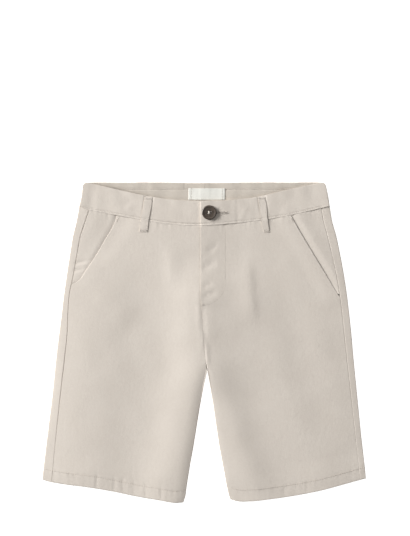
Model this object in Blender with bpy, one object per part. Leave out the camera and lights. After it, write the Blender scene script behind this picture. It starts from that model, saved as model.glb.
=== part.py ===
"""Boys' bermuda shorts in cotton twill, laid flat on their back on a table.

+X is the wearer's left, +Y points to the waist and +Z up. The origin lies on the
table below the middle of the shorts. The tables and sizes below are in
millimetres and the meshes in metres.

Each piece is a grid of points on the cloth's outer face, one row below another
from the waist to the hem, that a Solidify modifier turns into a wall inwards.
"""

import math

import bmesh
import bpy
import numpy as np

MM = 0.001
ORIGIN = np.array([-0.78, 0.45, 0.0])  # the middle of the laid outline in the tables

WALL = 1.2  # twill panel
HEM_WALL = 2.0  # the hem, turned up
HEM_DEPTH = 14.0
FACING_WALL = 1.0
BAND_WALL = 1.6  # waistband, two layers and interlining
LOOP_WALL = 1.0
FLAT_LOOP = 0.8  # belt loops that the shorts lie on
SEAM = 0.3  # gap between neighbouring pieces
CLEAR = 0.5  # gap between two layers that lie on each other
SIDE_R = 2.5  # radius of the side folds
INNER_R = {"right": 3.5, "left": 3.2}  # half the height of the inner leg folds
INNER_OUT = 2.5  # how far they bulge
BAND_R = 3.0  # radius of the waistband's side folds
PANEL_Z = 4.2  # height of the front panels' outer face
HEM_Z = 4.9  # the same at the hem
BAND_Z = 4.8  # height of the front waistband's outer face
POCKET_Z = 5.0  # height of the front along its pocket mouth
BAND_LIFT = BAND_WALL + 0.4  # how far the lap lifts the waistband under the button
FLY_X = -5.1  # free edge of the fly
FLY_END_Y = 45.0
CROTCH_Y = -32.6
LAP_END_X = 33.0  # end of the waistband under the lap
LOOP_WIDTH = 9.2
BUTTON_D = 17.8
BUTTON_H = 2.6
HOLE_R, HOLE_OUT = 0.9, 1.9  # its four holes and how far they are from its middle
BUTTON_XY = (5.4, 156.4)
LABEL_X, LABEL_Y = (-19.4, 24.2), (171.9, 185.4)
LABEL_H = 0.7
LABEL_FOLD = 5.5  # its turned-under ends


def table(names, *rows):
    """Rows with named columns, sorted on the first one."""
    data = np.array(list(rows), dtype=[(name, float) for name in names.split()])
    return np.sort(data, order=names.split()[0])


# The outer edges, and how far inside them the side seams lie on the front face.
SIDES = table(
    "y edge_right seam_right edge_left seam_left",
    (193.0, -146.8, 11.0, 145.4, 11.0),
    (178.0, -148.4, 11.0, 148.1, 11.0),
    (164.4, -150.9, 11.0, 149.9, 11.0),
    (146.0, -154.2, 10.0, 152.9, 10.6),
    (129.6, -158.2, 9.0, 157.5, 10.4),
    (105.6, -162.2, 8.0, 162.6, 10.0),
    (81.6, -165.8, 7.8, 167.0, 9.4),
    (57.6, -169.3, 6.8, 170.6, 9.2),
    (33.6, -172.1, 8.0, 173.5, 8.8),
    (9.6, -175.2, 9.8, 176.0, 8.5),
    (-14.4, -178.1, 10.2, 178.1, 8.2),
    (-62.4, -183.0, 9.6, 182.8, 7.4),
    (-110.4, -189.0, 10.2, 187.6, 7.3),
    (-158.4, -194.7, 10.6, 192.9, 7.2),
    (-170.0, -195.9, 10.8, 193.9, 7.2),
)

# The front waistband's upper edge and its seam to the front panels.
BAND_FRONT = table(
    "x top seam",
    (-150.0, 192.4, 164.4),
    (-140.0, 191.6, 159.8),
    (-124.0, 188.6, 156.4),
    (-107.7, 184.8, 153.4),
    (-75.3, 177.6, 147.4),
    (-41.7, 172.2, 142.2),
    (-5.7, 170.4, 140.6),
    (32.7, 171.6, 143.2),
    (62.7, 175.2, 146.4),
    (92.7, 182.2, 151.0),
    (118.0, 187.8, 156.4),
    (132.3, 190.8, 159.8),
    (141.0, 191.8, 162.0),
    (150.0, 192.4, 164.2),
)

BAND_BACK = table(
    "x top seam",
    (-150.0, 192.4, 164.4),
    (-138.0, 193.0, 162.4),
    (-100.0, 193.1, 161.6),
    (-34.0, 193.0, 161.6),
    (-14.0, 192.5, 161.6),
    (14.0, 192.6, 161.6),
    (34.0, 193.0, 161.6),
    (100.0, 193.1, 161.6),
    (138.0, 193.0, 162.4),
    (150.0, 192.4, 164.2),
)

# The lower edges of the two legs.
HEM = {
    "right": table(
        "x y",
        (-196.0, -163.0),
        (-190.5, -165.0),
        (-176.0, -168.0),
        (-140.0, -172.8),
        (-111.3, -177.6),
        (-82.5, -183.6),
        (-53.7, -188.4),
        (-34.0, -191.4),
        (-24.0, -190.6),
    ),
    "left": table(
        "x y",
        (29.0, -186.0),
        (39.9, -189.4),
        (54.3, -189.6),
        (83.1, -186.6),
        (111.9, -182.2),
        (140.7, -176.4),
        (169.5, -168.6),
        (183.9, -164.0),
        (195.0, -160.4),
    ),
}

# The centre line down to the crotch: the fly's free edge and the front rise
# below it, how far the right front reaches under the fly, and the back rise.
CENTRE = table(
    "y front under back",
    (200.0, FLY_X, 20.0, 0.0),
    (74.0, FLY_X, 20.0, 0.0),
    (62.0, FLY_X, 17.0, 0.0),
    (54.0, FLY_X, 9.0, 0.0),
    (FLY_END_Y + 2, -4.2, -4.2, 0.2),
    (20.0, -2.1, -2.1, 0.5),
    (0.0, -1.2, -1.2, 0.9),
    (-20.0, 1.0, 1.0, 1.8),
    (CROTCH_Y, 3.0, 3.0, 3.0),
)

INSEAM = table(
    "y right left",
    (CROTCH_Y, 3.0, 3.0),
    (-50.4, -0.9, 6.0),
    (-74.4, -5.4, 9.9),
    (-98.4, -9.3, 13.2),
    (-122.4, -13.1, 16.8),
    (-146.4, -17.5, 21.4),
    (-170.4, -21.3, 25.7),
    (-183.0, -22.9, 28.6),
    (-192.0, -26.0, 33.0),
)

# The slanted pocket mouths, from the waistband seam to the side seam.
MOUTH = {
    "right": table(
        "y x", (170.0, -97.0), (152.4, -106.4), (106.0, -131.4), (76.0, -150.0), (72.6, -154.0), (69.6, -162.0)
    ),
    "left": table("y x", (170.0, 95.0), (152.4, 104.8), (106.0, 132.0), (74.4, 151.0), (56.0, 161.2)),
}
MOUTH_END_Y = {"right": 70.0, "left": 57.0}

# Soft lengthwise folds of the fronts: the leg they lie on, the crest at three heights, its
# half width towards -X and towards +X, and its height above the panel.
FOLDS = table(
    "leg y_top x_top y_mid x_mid y_low x_low left right height",
    (-1, 110.0, -8.0, -34.0, -8.0, -190.0, -44.0, 33.0, 36.0, 3.5),
    (-1, 125.0, -136.0, -34.0, -140.0, -180.0, -146.0, 42.0, 50.0, 1.9),
    (1, 0.0, 4.0, -68.0, 21.0, -186.0, 65.0, 34.0, 27.0, 2.6),
    (1, 96.0, 46.0, -32.0, 86.0, -184.0, 142.0, 48.0, 28.0, 1.3),
    (1, 70.0, 118.0, -32.0, 147.0, -120.0, 164.0, 30.0, 24.0, 0.6),
)
RUN_OVER = 1.35  # how much wider a fold of the right leg is where it runs over to the left

# How far the left half is lifted where it laps over the right one, and how far the right
# one dips under it: at the fly, and at the waistband.
FLY_LAP = table("x lift dip", (FLY_X, 1.9, 0.35), (2.0, 1.6, 0.6), (12.0, 1.1, 1.1), (22.0, 0.6, 1.3), (42.0, 0.0, 1.3))
BAND_LAP = table(
    "x lift dip",
    (FLY_X, BAND_LIFT, 0.0),
    (6.5, BAND_LIFT, 0.0),
    (20.0, 1.4, 0.8),
    (LAP_END_X, 0.95, 1.0),
    (62.0, 0.0, 1.0),
)

# The outline of an inner leg fold, from its top to the inseam: the distance from the
# edge and the height above the inseam, in fold radii.
ROLL = table("out up", (1.0, 1.0), (0.47, 0.85), (0.134, 0.5), (0.032, 0.25), (0.031, 0.09))[::-1]

# The belt loops of the front: their two ends, and of the back: their middle.
FRONT_LOOPS = {
    "right": dict(top=(-67.3, 175.0), low=(-73.5, 133.0)),
    "left": dict(top=(67.9, 175.2), low=(74.1, 132.6)),
}
BACK_LOOPS = {"right": -76.0, "centre": 0.0, "left": 76.0}

SIDE_OF = {"right": -1, "left": 1}


def curve(data, column, at):
    """A smooth line through a table's column, read at values of its first column."""
    key, value = data[data.dtype.names[0]], data[column]
    slope = np.gradient(value, key)
    at = np.clip(at, key[0], key[-1])
    i = np.clip(np.searchsorted(key, at) - 1, 0, len(key) - 2)
    span = key[i + 1] - key[i]
    s = (at - key[i]) / span
    return (
        (2 * s**3 - 3 * s**2 + 1) * value[i]
        + (s**3 - 2 * s**2 + s) * span * slope[i]
        + (3 * s**2 - 2 * s**3) * value[i + 1]
        + (s**3 - s**2) * span * slope[i + 1]
    )


def line(data, column, at):
    return np.interp(at, data[data.dtype.names[0]], data[column])


def ease(value, start, end):
    """0 before start, 1 after end, and an even bend between them."""
    s = np.clip((value - start) / (end - start), 0.0, 1.0)
    return s * s * (3 - 2 * s)


def edge_x(side, y):
    return curve(SIDES, "edge_" + side, y)


def side_seam_x(side, y):
    return edge_x(side, y) - SIDE_OF[side] * curve(SIDES, "seam_" + side, y)


def inner_x(side, y, layer):
    """The inner edge of a panel: the centre line down to the crotch, then the leg."""
    return np.where(y > CROTCH_Y, line(CENTRE, layer, y), line(INSEAM, side, y))


def place(side, layer, across, down):
    """A point of the laid panel, across from its outer edge, 0, to its inner edge, 1,
    and down from the waistband seam, 0, to the hem, 1."""
    seam = BAND_BACK if layer == "back" else BAND_FRONT
    hem = HEM[side]
    x_top = edge_x(side, 164.3), inner_x(side, 141.0, layer)
    x_low = edge_x(side, -163.0), line(INSEAM, side, -190.0)

    def y_at(a):
        top = curve(seam, "seam", x_top[0] + (x_top[1] - x_top[0]) * a) - SEAM / 2
        low = curve(hem, "y", x_low[0] + (x_low[1] - x_low[0]) * a)
        return top + (low - top) * down

    x0 = edge_x(side, y_at(0.0))
    x1 = inner_x(side, y_at(1.0), layer) + SIDE_OF[side] * SEAM / 2
    return x0 + (x1 - x0) * across, y_at(across)


def across_at(side, layer, down, x_of_y):
    """Where a row crosses a line that is given as x for each y."""
    low, high = np.zeros_like(down), np.ones_like(down)
    for _ in range(30):
        middle = (low + high) / 2
        x, y = place(side, layer, middle, down)
        inside = SIDE_OF[side] * (x - x_of_y(y)) > 0  # still outside the line
        low, high = np.where(inside, middle, low), np.where(inside, high, middle)
    return (low + high) / 2


def leg_share(y):
    """0 above the crotch, where the panels are flat to the centre, and 1 on the legs."""
    return ease(-y, -CROTCH_Y - 26.0, -CROTCH_Y + 2.0)


def roll_out(leg):
    """How far a panel's last columns lie from its inner edge: even above the crotch,
    and closing round the roll on the legs."""
    even = np.linspace(1.0, 0.0, len(ROLL))[None, :]
    return INNER_OUT * (even + (ROLL["out"][None, :] - even) * np.minimum(leg * 1.6, 1.0))


def roll_up(side, y):
    """How far the same columns lie above or below the inseam, more at the crotch."""
    return INNER_R[side] * (ROLL["up"] + 0.08 * (1 - ease(-y, 44.0, 64.0)))


def folds(side, x, y):
    """The folds of one leg, and above the crotch those of the other that run over to it."""
    height = np.zeros_like(x)
    for f in FOLDS:
        shown = 1.0 if f["leg"] == SIDE_OF[side] else 1 - ease(-y, -15.0, 65.0)
        crest = np.interp(
            y, (f["y_low"], f["y_mid"], f["y_top"]), (f["x_low"], f["x_mid"], f["x_top"])
        )
        wide = RUN_OVER if f["leg"] < SIDE_OF[side] else 1.0
        half = np.where(x < crest, f["left"], f["right"]) * wide
        length = ease(f["y_top"] - y, 0.0, 60.0) * (1 - 0.35 * ease(-y, 150.0, 185.0))
        height += shown * f["height"] * length * np.exp(-(((x - crest) / half) ** 2))
    return height


def front_z(side, x, y):
    """Height of the outer face of the fronts, without the fly's lap."""
    hem_y = curve(HEM[side], "y", x)
    seam_y = curve(BAND_FRONT, "seam", x)
    z = PANEL_Z + folds(side, x, y)
    z = z + (HEM_Z - PANEL_Z) * (1 - ease(y - hem_y, HEM_DEPTH, 40.0))
    z = z + (BAND_Z - 0.6 - PANEL_Z) * (1 - ease(seam_y - y, 4.0, 40.0))
    off_mouth = np.abs(x - curve(MOUTH[side], "x", y)) * 0.85
    mouth = (1 - ease(off_mouth, 6.0, 24.0)) * ease(y, MOUTH_END_Y[side] - 16, MOUTH_END_Y[side] + 6)
    z = np.maximum(z, z + (POCKET_Z - z) * mouth)
    out = SIDE_OF[side] * (edge_x(side, y) - x)
    z = z + (2 * SIDE_R - z) * (1 - ease(out, SIDE_R, 24.0))
    rim = np.clip((SIDE_R - out) / SIDE_R, 0.0, 1.0)
    z = np.where(out < SIDE_R, SIDE_R * (1 + np.sqrt(1 - rim**2)), z)
    return z


def fly_lift(x, y):
    """How much the left front is raised over the right one's extension."""
    down = 0.8 + 0.2 * ease(y, 55.0, 105.0)
    return curve(FLY_LAP, "lift", x) * down * ease(y, FLY_END_Y - 16.0, FLY_END_Y)


def fly_dip(x, y):
    """How much the right front's extension lies lower, under the left front."""
    start = ease(x, FLY_X - 1.0, FLY_X + 4.0)
    return curve(FLY_LAP, "dip", x) * start * ease(y, FLY_END_Y - 4.0, FLY_END_Y + 3.0)


def material(name, colour, roughness, metallic=0.0):
    mat = bpy.data.materials.new(name)
    mat.use_nodes = True
    shader = mat.node_tree.nodes["Principled BSDF"]
    shader.inputs["Base Color"].default_value = (*colour, 1.0)
    shader.inputs["Roughness"].default_value = roughness
    shader.inputs["Metallic"].default_value = metallic
    return mat


def cloth(name, grid, mat, wall, flip, hem_rows=0):
    """A wall inwards from a grid of outer points. The last rows may be a thick hem,
    which thins to one wall in the roll of the inner leg fold."""
    rows, columns, _ = grid.shape
    mesh = bpy.data.meshes.new(name)
    bm = bmesh.new()
    verts = [[bm.verts.new((p - ORIGIN) * MM) for p in row] for row in grid]
    for i in range(rows - 1):
        for j in range(columns - 1):
            quad = verts[i][j], verts[i + 1][j], verts[i + 1][j + 1], verts[i][j + 1]
            bm.faces.new(quad[::-1] if flip else quad)
    bm.to_mesh(mesh)
    bm.free()
    mesh.shade_smooth()
    obj = bpy.data.objects.new(name, mesh)
    bpy.context.collection.objects.link(obj)
    obj.data.materials.append(mat)
    solid = obj.modifiers.new("Wall", "SOLIDIFY")
    solid.thickness = wall * MM
    solid.offset = -1.0
    if hem_rows:
        group = obj.vertex_groups.new(name="hem")
        for row in range(rows - hem_rows, rows):
            group.add([row * columns + j for j in range(columns - len(ROLL) + 1)], 1.0, "REPLACE")
        solid.thickness = HEM_WALL * MM
        solid.vertex_group = "hem"
        solid.thickness_vertex_group = wall / HEM_WALL
    return obj


def steps(side, layer, count, extra=()):
    """Row heights from the waistband seam to the hem, with a row at each extra height
    on the inner edge and two rows at the top of the hem."""
    top, low = (place(side, layer, 1.0, at)[1] for at in (0.0, 1.0))
    hem_top = 1 - HEM_DEPTH / (top - low)
    down = np.linspace(0.0, hem_top - 0.001, count)
    for y in extra:
        at = (top - y) / (top - low)
        down[np.argmin(np.abs(down - at))] = at
    return np.concatenate([down, [hem_top + 0.001, 1.0]])


def front_panel(side, mat):
    """From the pocket mouth, and below it the side seam, to the centre and the inseam."""
    s = SIDE_OF[side]
    layer = "front" if side == "left" else "under"
    down = steps(side, layer, 30, (74.0, 62.0, 54.0, FLY_END_Y + 2, 31.0, 20.0, -8.0, -20.0, CROTCH_Y, -48.0))
    mouth = MOUTH[side]

    def outer_line(y):
        seam = side_seam_x(side, y) - s * SEAM / 2
        return np.where(y > MOUTH_END_Y[side], s * np.minimum(s * curve(mouth, "x", y), s * seam), seam)

    start = across_at(side, layer, down, outer_line)[:, None]
    down = down[:, None]
    end_x, end_y = place(side, layer, 1.0, down)
    start_x, _ = place(side, layer, start, down)
    leg = leg_share(end_y)
    rolled = roll_out(leg)
    width = np.abs(end_x - start_x)
    flat = np.linspace(0.0, 1.0, 18)[None, :-1]
    flat = flat * (1 - INNER_OUT / width)
    share = np.concatenate([flat, 1 - rolled / width], axis=1)
    x, y = place(side, layer, start + (1 - start) * share, down)
    z = front_z(side, x, y)
    z = z + (fly_lift(x, y) if side == "left" else -fly_dip(x, y))
    inward = s * (x - end_x)
    near = leg * (1 - ease(inward, INNER_OUT, 16.0))
    z = z + (2 * INNER_R[side] - z) * near
    z[:, -len(ROLL):] += (INNER_R[side] + roll_up(side, end_y) - z[:, -len(ROLL):]) * leg
    return cloth("front_" + side, np.stack([x, y, z], -1), mat, WALL, side == "left", hem_rows=2)


def back_panel(side, mat):
    """From the side seam on the front face, round the side fold and along the table to
    the centre back and the inseam."""
    s = SIDE_OF[side]
    down = steps(side, "back", 24, (-8.0, -20.0, CROTCH_Y, -48.0))[:, None]
    edge, edge_y = place(side, "front", 0.0, down)
    seam = across_at(side, "front", down, lambda y: side_seam_x(side, y) + s * SEAM / 2)
    seam_x, _ = place(side, "front", seam, down)
    over = np.abs(seam_x - edge)
    inner, inner_y = place(side, "back", 1.0, down)
    width = np.abs(inner - edge)

    # the strip on the front face
    strip = over + (SIDE_R - over) * np.array([[0.0, 0.5]])
    front_width = np.abs(place(side, "front", 1.0, down)[0] - edge)
    x_over, y_over = place(side, "front", strip / front_width, down)
    z_over = front_z(side, x_over, y_over)
    # the side fold
    turn = np.radians(np.linspace(90.0, 270.0, 7))
    x_fold = edge - s * SIDE_R * (1 + np.cos(turn))
    z_fold = SIDE_R * (1 + np.sin(turn)) + 0 * down
    off = np.abs(x_fold - edge)
    y_fold = np.concatenate(
        [
            place(side, "front", off[:, :4] / front_width, down)[1],
            place(side, "back", off[:, 4:] / width, down)[1],
        ],
        axis=1,
    )
    # the underside, and up to the inseam
    run = np.linspace(0.0, 1.0, 10)[None, 1:-1] * (width - SIDE_R - INNER_OUT) + SIDE_R
    leg = leg_share(inner_y)
    roll = width - roll_out(leg)
    below = np.concatenate([run, roll], axis=1) / width
    x_below, y_below = place(side, "back", below, down)
    z_below = np.zeros_like(x_below)
    z_below[:, -len(ROLL):] = np.maximum(INNER_R[side] - roll_up(side, inner_y), 0.0) * leg
    grid = np.stack(
        [
            np.concatenate([x_over, x_fold, x_below], axis=1),
            np.concatenate([y_over, y_fold, y_below], axis=1),
            np.concatenate([z_over, z_fold, z_below], axis=1),
        ],
        -1,
    )
    return cloth("back_" + side, grid, mat, WALL, side == "right", hem_rows=2)


def pocket_facing(side, mat):
    """The strip between the pocket mouth and the side seam. It runs on under the front."""
    s = SIDE_OF[side]
    layer = "front" if side == "left" else "under"
    top, low = (place(side, layer, 0.0, at)[1] for at in (0.0, 1.0))
    down = np.linspace(0.0, (top - MOUTH_END_Y[side] - 4.0) / (top - low), 14)

    def outer_line(y):
        """A little more than a seam's gap inside the side seam where the mouth closes."""
        low_end = 1 - ease(y, MOUTH_END_Y[side] + 4.0, MOUTH_END_Y[side] + 30.0)
        return side_seam_x(side, y) - s * (SEAM / 2 + 0.6 * low_end)

    seam = across_at(side, layer, down, outer_line)
    mouth = across_at(side, layer, down, lambda y: curve(MOUTH[side], "x", y) - s * 8.0)
    share = np.linspace(0.0, 1.0, 6)[None, :]
    x, y = place(side, layer, seam[:, None] + (mouth - seam)[:, None] * share, down[:, None])
    z = front_z(side, x, y)
    off = s * (x - curve(MOUTH[side], "x", y))
    under = 1 - ease(off, -0.5, np.maximum(2.5, s * (side_seam_x(side, y) - curve(MOUTH[side], "x", y)) - 1.0))
    z = z - (WALL + CLEAR) * under
    return cloth("pocket_facing_" + side, np.stack([x, y, z], -1), mat, FACING_WALL, side == "left")


def loop_raise(x):
    """The back waistband rises over the belt loops that it lies on."""
    rise = np.zeros_like(x)
    for middle in BACK_LOOPS.values():
        off = np.abs(x - middle) - LOOP_WIDTH / 2
        rise = np.maximum(rise, 1 - np.clip((off - SEAM) / 2.5, 0.0, 1.0))
    return (FLAT_LOOP + SEAM) * rise


def band_z(side, x):
    """Height of the front waistband's outer face. The left half laps over the right."""
    return BAND_Z + (line(BAND_LAP, "lift", x) if side == "left" else -line(BAND_LAP, "dip", x))


def waistband(side, mat):
    """From the centre front round the side fold and along the table to the centre back."""
    s = SIDE_OF[side]
    share = np.linspace(0.0, 1.0, 5)[:, None]
    front = np.concatenate([[LAP_END_X, 20.0, 6.5, -6.5], -np.linspace(20.0, 132.0, 11)])
    if side == "left":
        front = np.concatenate([[FLY_X, 6.5, 13.0, 20.0], np.linspace(LAP_END_X, 62.0, 4), np.linspace(74.0, 132.0, 6)])
    x_front = front + 0 * share
    y_front = curve(BAND_FRONT, "top", x_front) * (1 - share) + (curve(BAND_FRONT, "seam", x_front) + SEAM / 2) * share
    y_side = 192.3 * (1 - share) + 164.45 * share
    edge = edge_x(side, y_side)
    z_front = band_z(side, x_front)
    out = s * (edge_x(side, y_front) - x_front)
    z_front = z_front + (2 * BAND_R - z_front) * (1 - ease(out, BAND_R, 22.0))
    turn = np.radians(np.linspace(90.0, 270.0, 9))
    x_fold = edge - s * BAND_R * (1 + np.cos(turn))
    z_fold = BAND_R * (1 + np.sin(turn)) + 0 * share
    below = turn > math.pi
    y_top = np.where(below, curve(BAND_BACK, "top", x_fold), curve(BAND_FRONT, "top", x_fold))
    y_low = np.where(below, curve(BAND_BACK, "seam", x_fold), curve(BAND_FRONT, "seam", x_fold)) + SEAM / 2
    y_fold = y_top * (1 - share) + y_low * share
    back = [132.0, 118.0, 104.0, 92.0]
    for middle in (76.0, 0.0):
        half = LOOP_WIDTH / 2 + SEAM
        back += [middle + half + 2.5, middle + half]
        back += [middle - half, middle - half - 2.5] if middle else [SEAM / 2]
        if middle:
            back += [54.0, 38.0, 22.0]
    x_back = s * np.array(back) + 0 * share
    y_back = curve(BAND_BACK, "top", x_back) * (1 - share) + (curve(BAND_BACK, "seam", x_back) + SEAM / 2) * share
    grid = np.stack(
        [
            np.concatenate([x_front, x_fold, x_back], axis=1),
            np.concatenate([y_front, y_fold, y_back], axis=1),
            np.concatenate([z_front, z_fold, loop_raise(x_back)], axis=1),
        ],
        -1,
    )
    return cloth("waistband_" + side, grid, mat, BAND_WALL, side == "right")


def front_loop(side, mat):
    """A belt loop over the waistband, bowed out a little between its sewn ends."""
    ends = FRONT_LOOPS[side]
    down = np.linspace(0.0, 1.0, 12)[:, None]
    across = np.linspace(-0.5, 0.5, 4)[None, :] * LOOP_WIDTH
    x = ends["top"][0] + (ends["low"][0] - ends["top"][0]) * down + across
    y = ends["top"][1] + (ends["low"][1] - ends["top"][1]) * down + 0 * across
    under_band = BAND_Z + 0 * x
    on_panel = front_z(side, x, y)
    seam_y = curve(BAND_FRONT, "seam", x)
    z = on_panel + (under_band - on_panel) * ease(y, seam_y - 7.0, seam_y - 1.0)
    bow = 0.7 * np.sin(np.pi * np.clip((down - 0.06) / 0.8, 0.0, 1.0))
    z = z + CLEAR + LOOP_WALL + bow
    return cloth("belt_loop_front_" + side, np.stack([x, y, z], -1), mat, LOOP_WALL, False)


def block(name, low, high, mat):
    """A box between two corners."""
    mesh = bpy.data.meshes.new(name)
    bm = bmesh.new()
    bmesh.ops.create_cube(bm, size=1.0)
    low, high = np.array(low), np.array(high)
    for v in bm.verts:
        v.co = (np.array(v.co) * (high - low) + (high + low) / 2 - ORIGIN) * MM
    bm.to_mesh(mesh)
    bm.free()
    obj = bpy.data.objects.new(name, mesh)
    bpy.context.collection.objects.link(obj)
    obj.data.materials.append(mat)
    return obj


def back_loop(name, mat):
    x = BACK_LOOPS[name]
    low = (x - LOOP_WIDTH / 2, 162.4, 0.0)
    high = (x + LOOP_WIDTH / 2, 191.4, FLAT_LOOP)
    return block("belt_loop_back_" + name, low, high, mat)


def woven_label(mat):
    """A flat label with its two ends turned under, on the back waistband's inner face."""
    z0 = BAND_WALL + FLAT_LOOP + 2 * SEAM
    across = np.array([0.0, 1.0, LABEL_FOLD, LABEL_FOLD + 0.8])
    x = np.concatenate([LABEL_X[0] + across, [LABEL_X[0] + 16, LABEL_X[1] - 16], LABEL_X[1] - across[::-1]])
    lift = np.array([0.0, 0.25, 0.35, 0.0, -0.05, -0.05, 0.0, 0.35, 0.25, 0.0])
    y = np.linspace(LABEL_Y[1], LABEL_Y[0], 3)[:, None]
    grid = np.stack([x + 0 * y, y + 0 * x, z0 + LABEL_H + 0.1 + lift + 0 * y], -1)
    return cloth("label", grid, mat, LABEL_H, False)


def shirt_button(mat):
    """A turned disc with a raised rim and a dished middle that four holes go through."""
    r = BUTTON_D / 2
    profile = [
        (0.0, 0.0), (r * 0.72, 0.0), (r * 0.93, 0.5), (r, 1.2), (r * 0.96, 2.1),
        (r * 0.86, BUTTON_H), (r * 0.74, BUTTON_H - 0.1), (r * 0.62, 1.8), (r * 0.3, 1.6), (0.0, 1.6),
    ]
    mesh = bpy.data.meshes.new("button")
    bm = bmesh.new()
    path = [bm.verts.new((x * MM, 0.0, z * MM)) for x, z in profile]
    edges = [bm.edges.new(pair) for pair in zip(path, path[1:])]
    bmesh.ops.spin(bm, geom=path + edges, angle=math.tau, steps=28, axis=(0, 0, 1), cent=(0, 0, 0), use_duplicate=False)
    bmesh.ops.remove_doubles(bm, verts=bm.verts, dist=0.00001)
    bmesh.ops.recalc_face_normals(bm, faces=bm.faces)
    bm.to_mesh(mesh)
    bm.free()
    mesh.shade_smooth()
    obj = bpy.data.objects.new("button", mesh)
    bpy.context.collection.objects.link(obj)
    obj.data.materials.append(mat)
    obj.location = (np.array([*BUTTON_XY, BAND_Z + BAND_LIFT + SEAM]) - ORIGIN) * MM
    for k in range(4):
        turn = math.radians(45 + 90 * k)
        bpy.ops.mesh.primitive_cylinder_add(vertices=8, radius=HOLE_R * MM, depth=8 * MM)
        cutter = bpy.context.object
        cutter.name = "hole_%d" % k
        cutter.location = obj.location
        cutter.location.x += HOLE_OUT * MM * math.cos(turn)
        cutter.location.y += HOLE_OUT * MM * math.sin(turn)
        cutter.hide_render = True
        cutter.display_type = "WIRE"
        cut = obj.modifiers.new(cutter.name, "BOOLEAN")
        cut.operation = "DIFFERENCE"
        cut.solver = "EXACT"
        cut.object = cutter
    return obj


def main():
    for obj in list(bpy.data.objects):
        bpy.data.objects.remove(obj)
    twill = material("cotton_twill", (0.665, 0.604, 0.539), 0.9)
    inner = material("twill_inner_face", (0.61, 0.56, 0.49), 0.9)
    brown = material("button_brown", (0.085, 0.062, 0.052), 0.35)
    white = material("label_tape", (0.78, 0.77, 0.71), 0.7)
    for side in SIDE_OF:
        front_panel(side, twill)
        back_panel(side, twill)
        pocket_facing(side, inner)
        waistband(side, twill)
        front_loop(side, twill)
    for name in BACK_LOOPS:
        back_loop(name, twill)
    shirt_button(brown)
    woven_label(white)


main()
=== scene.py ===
"""The looks of a pair of boys' bermuda shorts in stone-coloured cotton twill, laid flat on
their back with the waist at +Y. Sizes are in millimetres and become metres in each mesh."""

import math

import bmesh
import bpy
import numpy as np
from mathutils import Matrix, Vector


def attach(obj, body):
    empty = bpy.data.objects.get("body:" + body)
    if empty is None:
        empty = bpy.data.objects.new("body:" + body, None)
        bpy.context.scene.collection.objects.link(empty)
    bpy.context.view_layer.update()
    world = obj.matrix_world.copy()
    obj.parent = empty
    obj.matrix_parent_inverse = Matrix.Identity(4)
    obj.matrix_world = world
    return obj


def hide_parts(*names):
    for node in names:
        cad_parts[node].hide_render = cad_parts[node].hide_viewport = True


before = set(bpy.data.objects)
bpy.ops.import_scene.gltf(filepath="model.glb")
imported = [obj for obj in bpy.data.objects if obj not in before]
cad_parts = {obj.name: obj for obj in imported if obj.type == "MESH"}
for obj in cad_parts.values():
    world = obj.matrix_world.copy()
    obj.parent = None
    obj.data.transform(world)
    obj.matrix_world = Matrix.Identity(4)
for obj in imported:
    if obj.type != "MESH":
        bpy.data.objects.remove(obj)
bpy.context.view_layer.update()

# ------------------------------------------------------------------ front panels
# Two fronts of brushed cotton twill, one for each leg. The left one laps over the right
# down to the end of the fly, and both are sewn to the backs at the side and inner leg,
# and turned up and stitched at the hem. They carry the soft folds of the laid cloth.

MM = 0.001
ORIGIN = np.array([-0.78, 0.45, 0.0])  # the middle of the laid outline in the tables
SIDE_OF = {"right": -1, "left": 1}  # the wearer's right leg lies at -X

WALL = 0.9  # one layer of twill with its seam allowances
HEM_WALL = 1.6
HEM_DEPTH = 13.9
HEM_GROOVE = {"right": 0.13, "left": 0.06}  # how far its stitching pulls in
SEAM = 0.14  # gap between neighbouring pieces
SIDE_OUT = 0.6  # how far the side fold bulges
SIDE_BEND = {"right": 11.0, "left": 8.0}  # how far in from it a front bends down to it
INNER_R = {"right": 3.5, "left": 3.25}  # half the height of the inner leg fold
INNER_OUT = 0.6  # how far it bulges
INNER_BEND = {"right": (0.9, 14.0), "left": (0.25, 8.0)}  # how deep and wide fronts bend down to it
PANEL_Z = 4.4  # height of the fronts' outer face
HEM_Z = 4.9
WAIST_Z = 4.3
POCKET_Z = {"right": 4.1, "left": 4.9}  # the same at the pocket mouths
EDGE_ROLL = {  # how far the panels' edges turn down at the side seams
    "front": {"right": 0.02, "left": 0.3},
    "back": {"right": 0.44, "left": 0.03},
}
SEAM_ROLL_R = 0.9  # how wide that and the roll at the centre seam are
TOP_ROLL, TOP_ROLL_R = 0.15, 1.0  # the same at the waistband seam
HEM_ROLL, HEM_ROLL_R = 0.5, 1.1  # and at the fold of the hem
STITCH_DIP_R = 0.9  # half the width of the groove that the hem's stitching makes
FLY_X = -5.1  # free edge of the fly
FLY_END_Y = 45.0
FLY_LINE_X = 24.3  # the straight part of the stitching that holds the fly
FLY_TURN_Y = 72.0  # where it starts to turn to the centre
CROTCH_Y = -32.6
FRONT_LAYER = {"right": "under", "left": "front"}  # the column of CENTRE where a front ends


def table(names, *rows):
    """Rows with named columns, sorted on the first one."""
    data = np.array(list(rows), dtype=[(name, float) for name in names.split()])
    return np.sort(data, order=names.split()[0])


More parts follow.
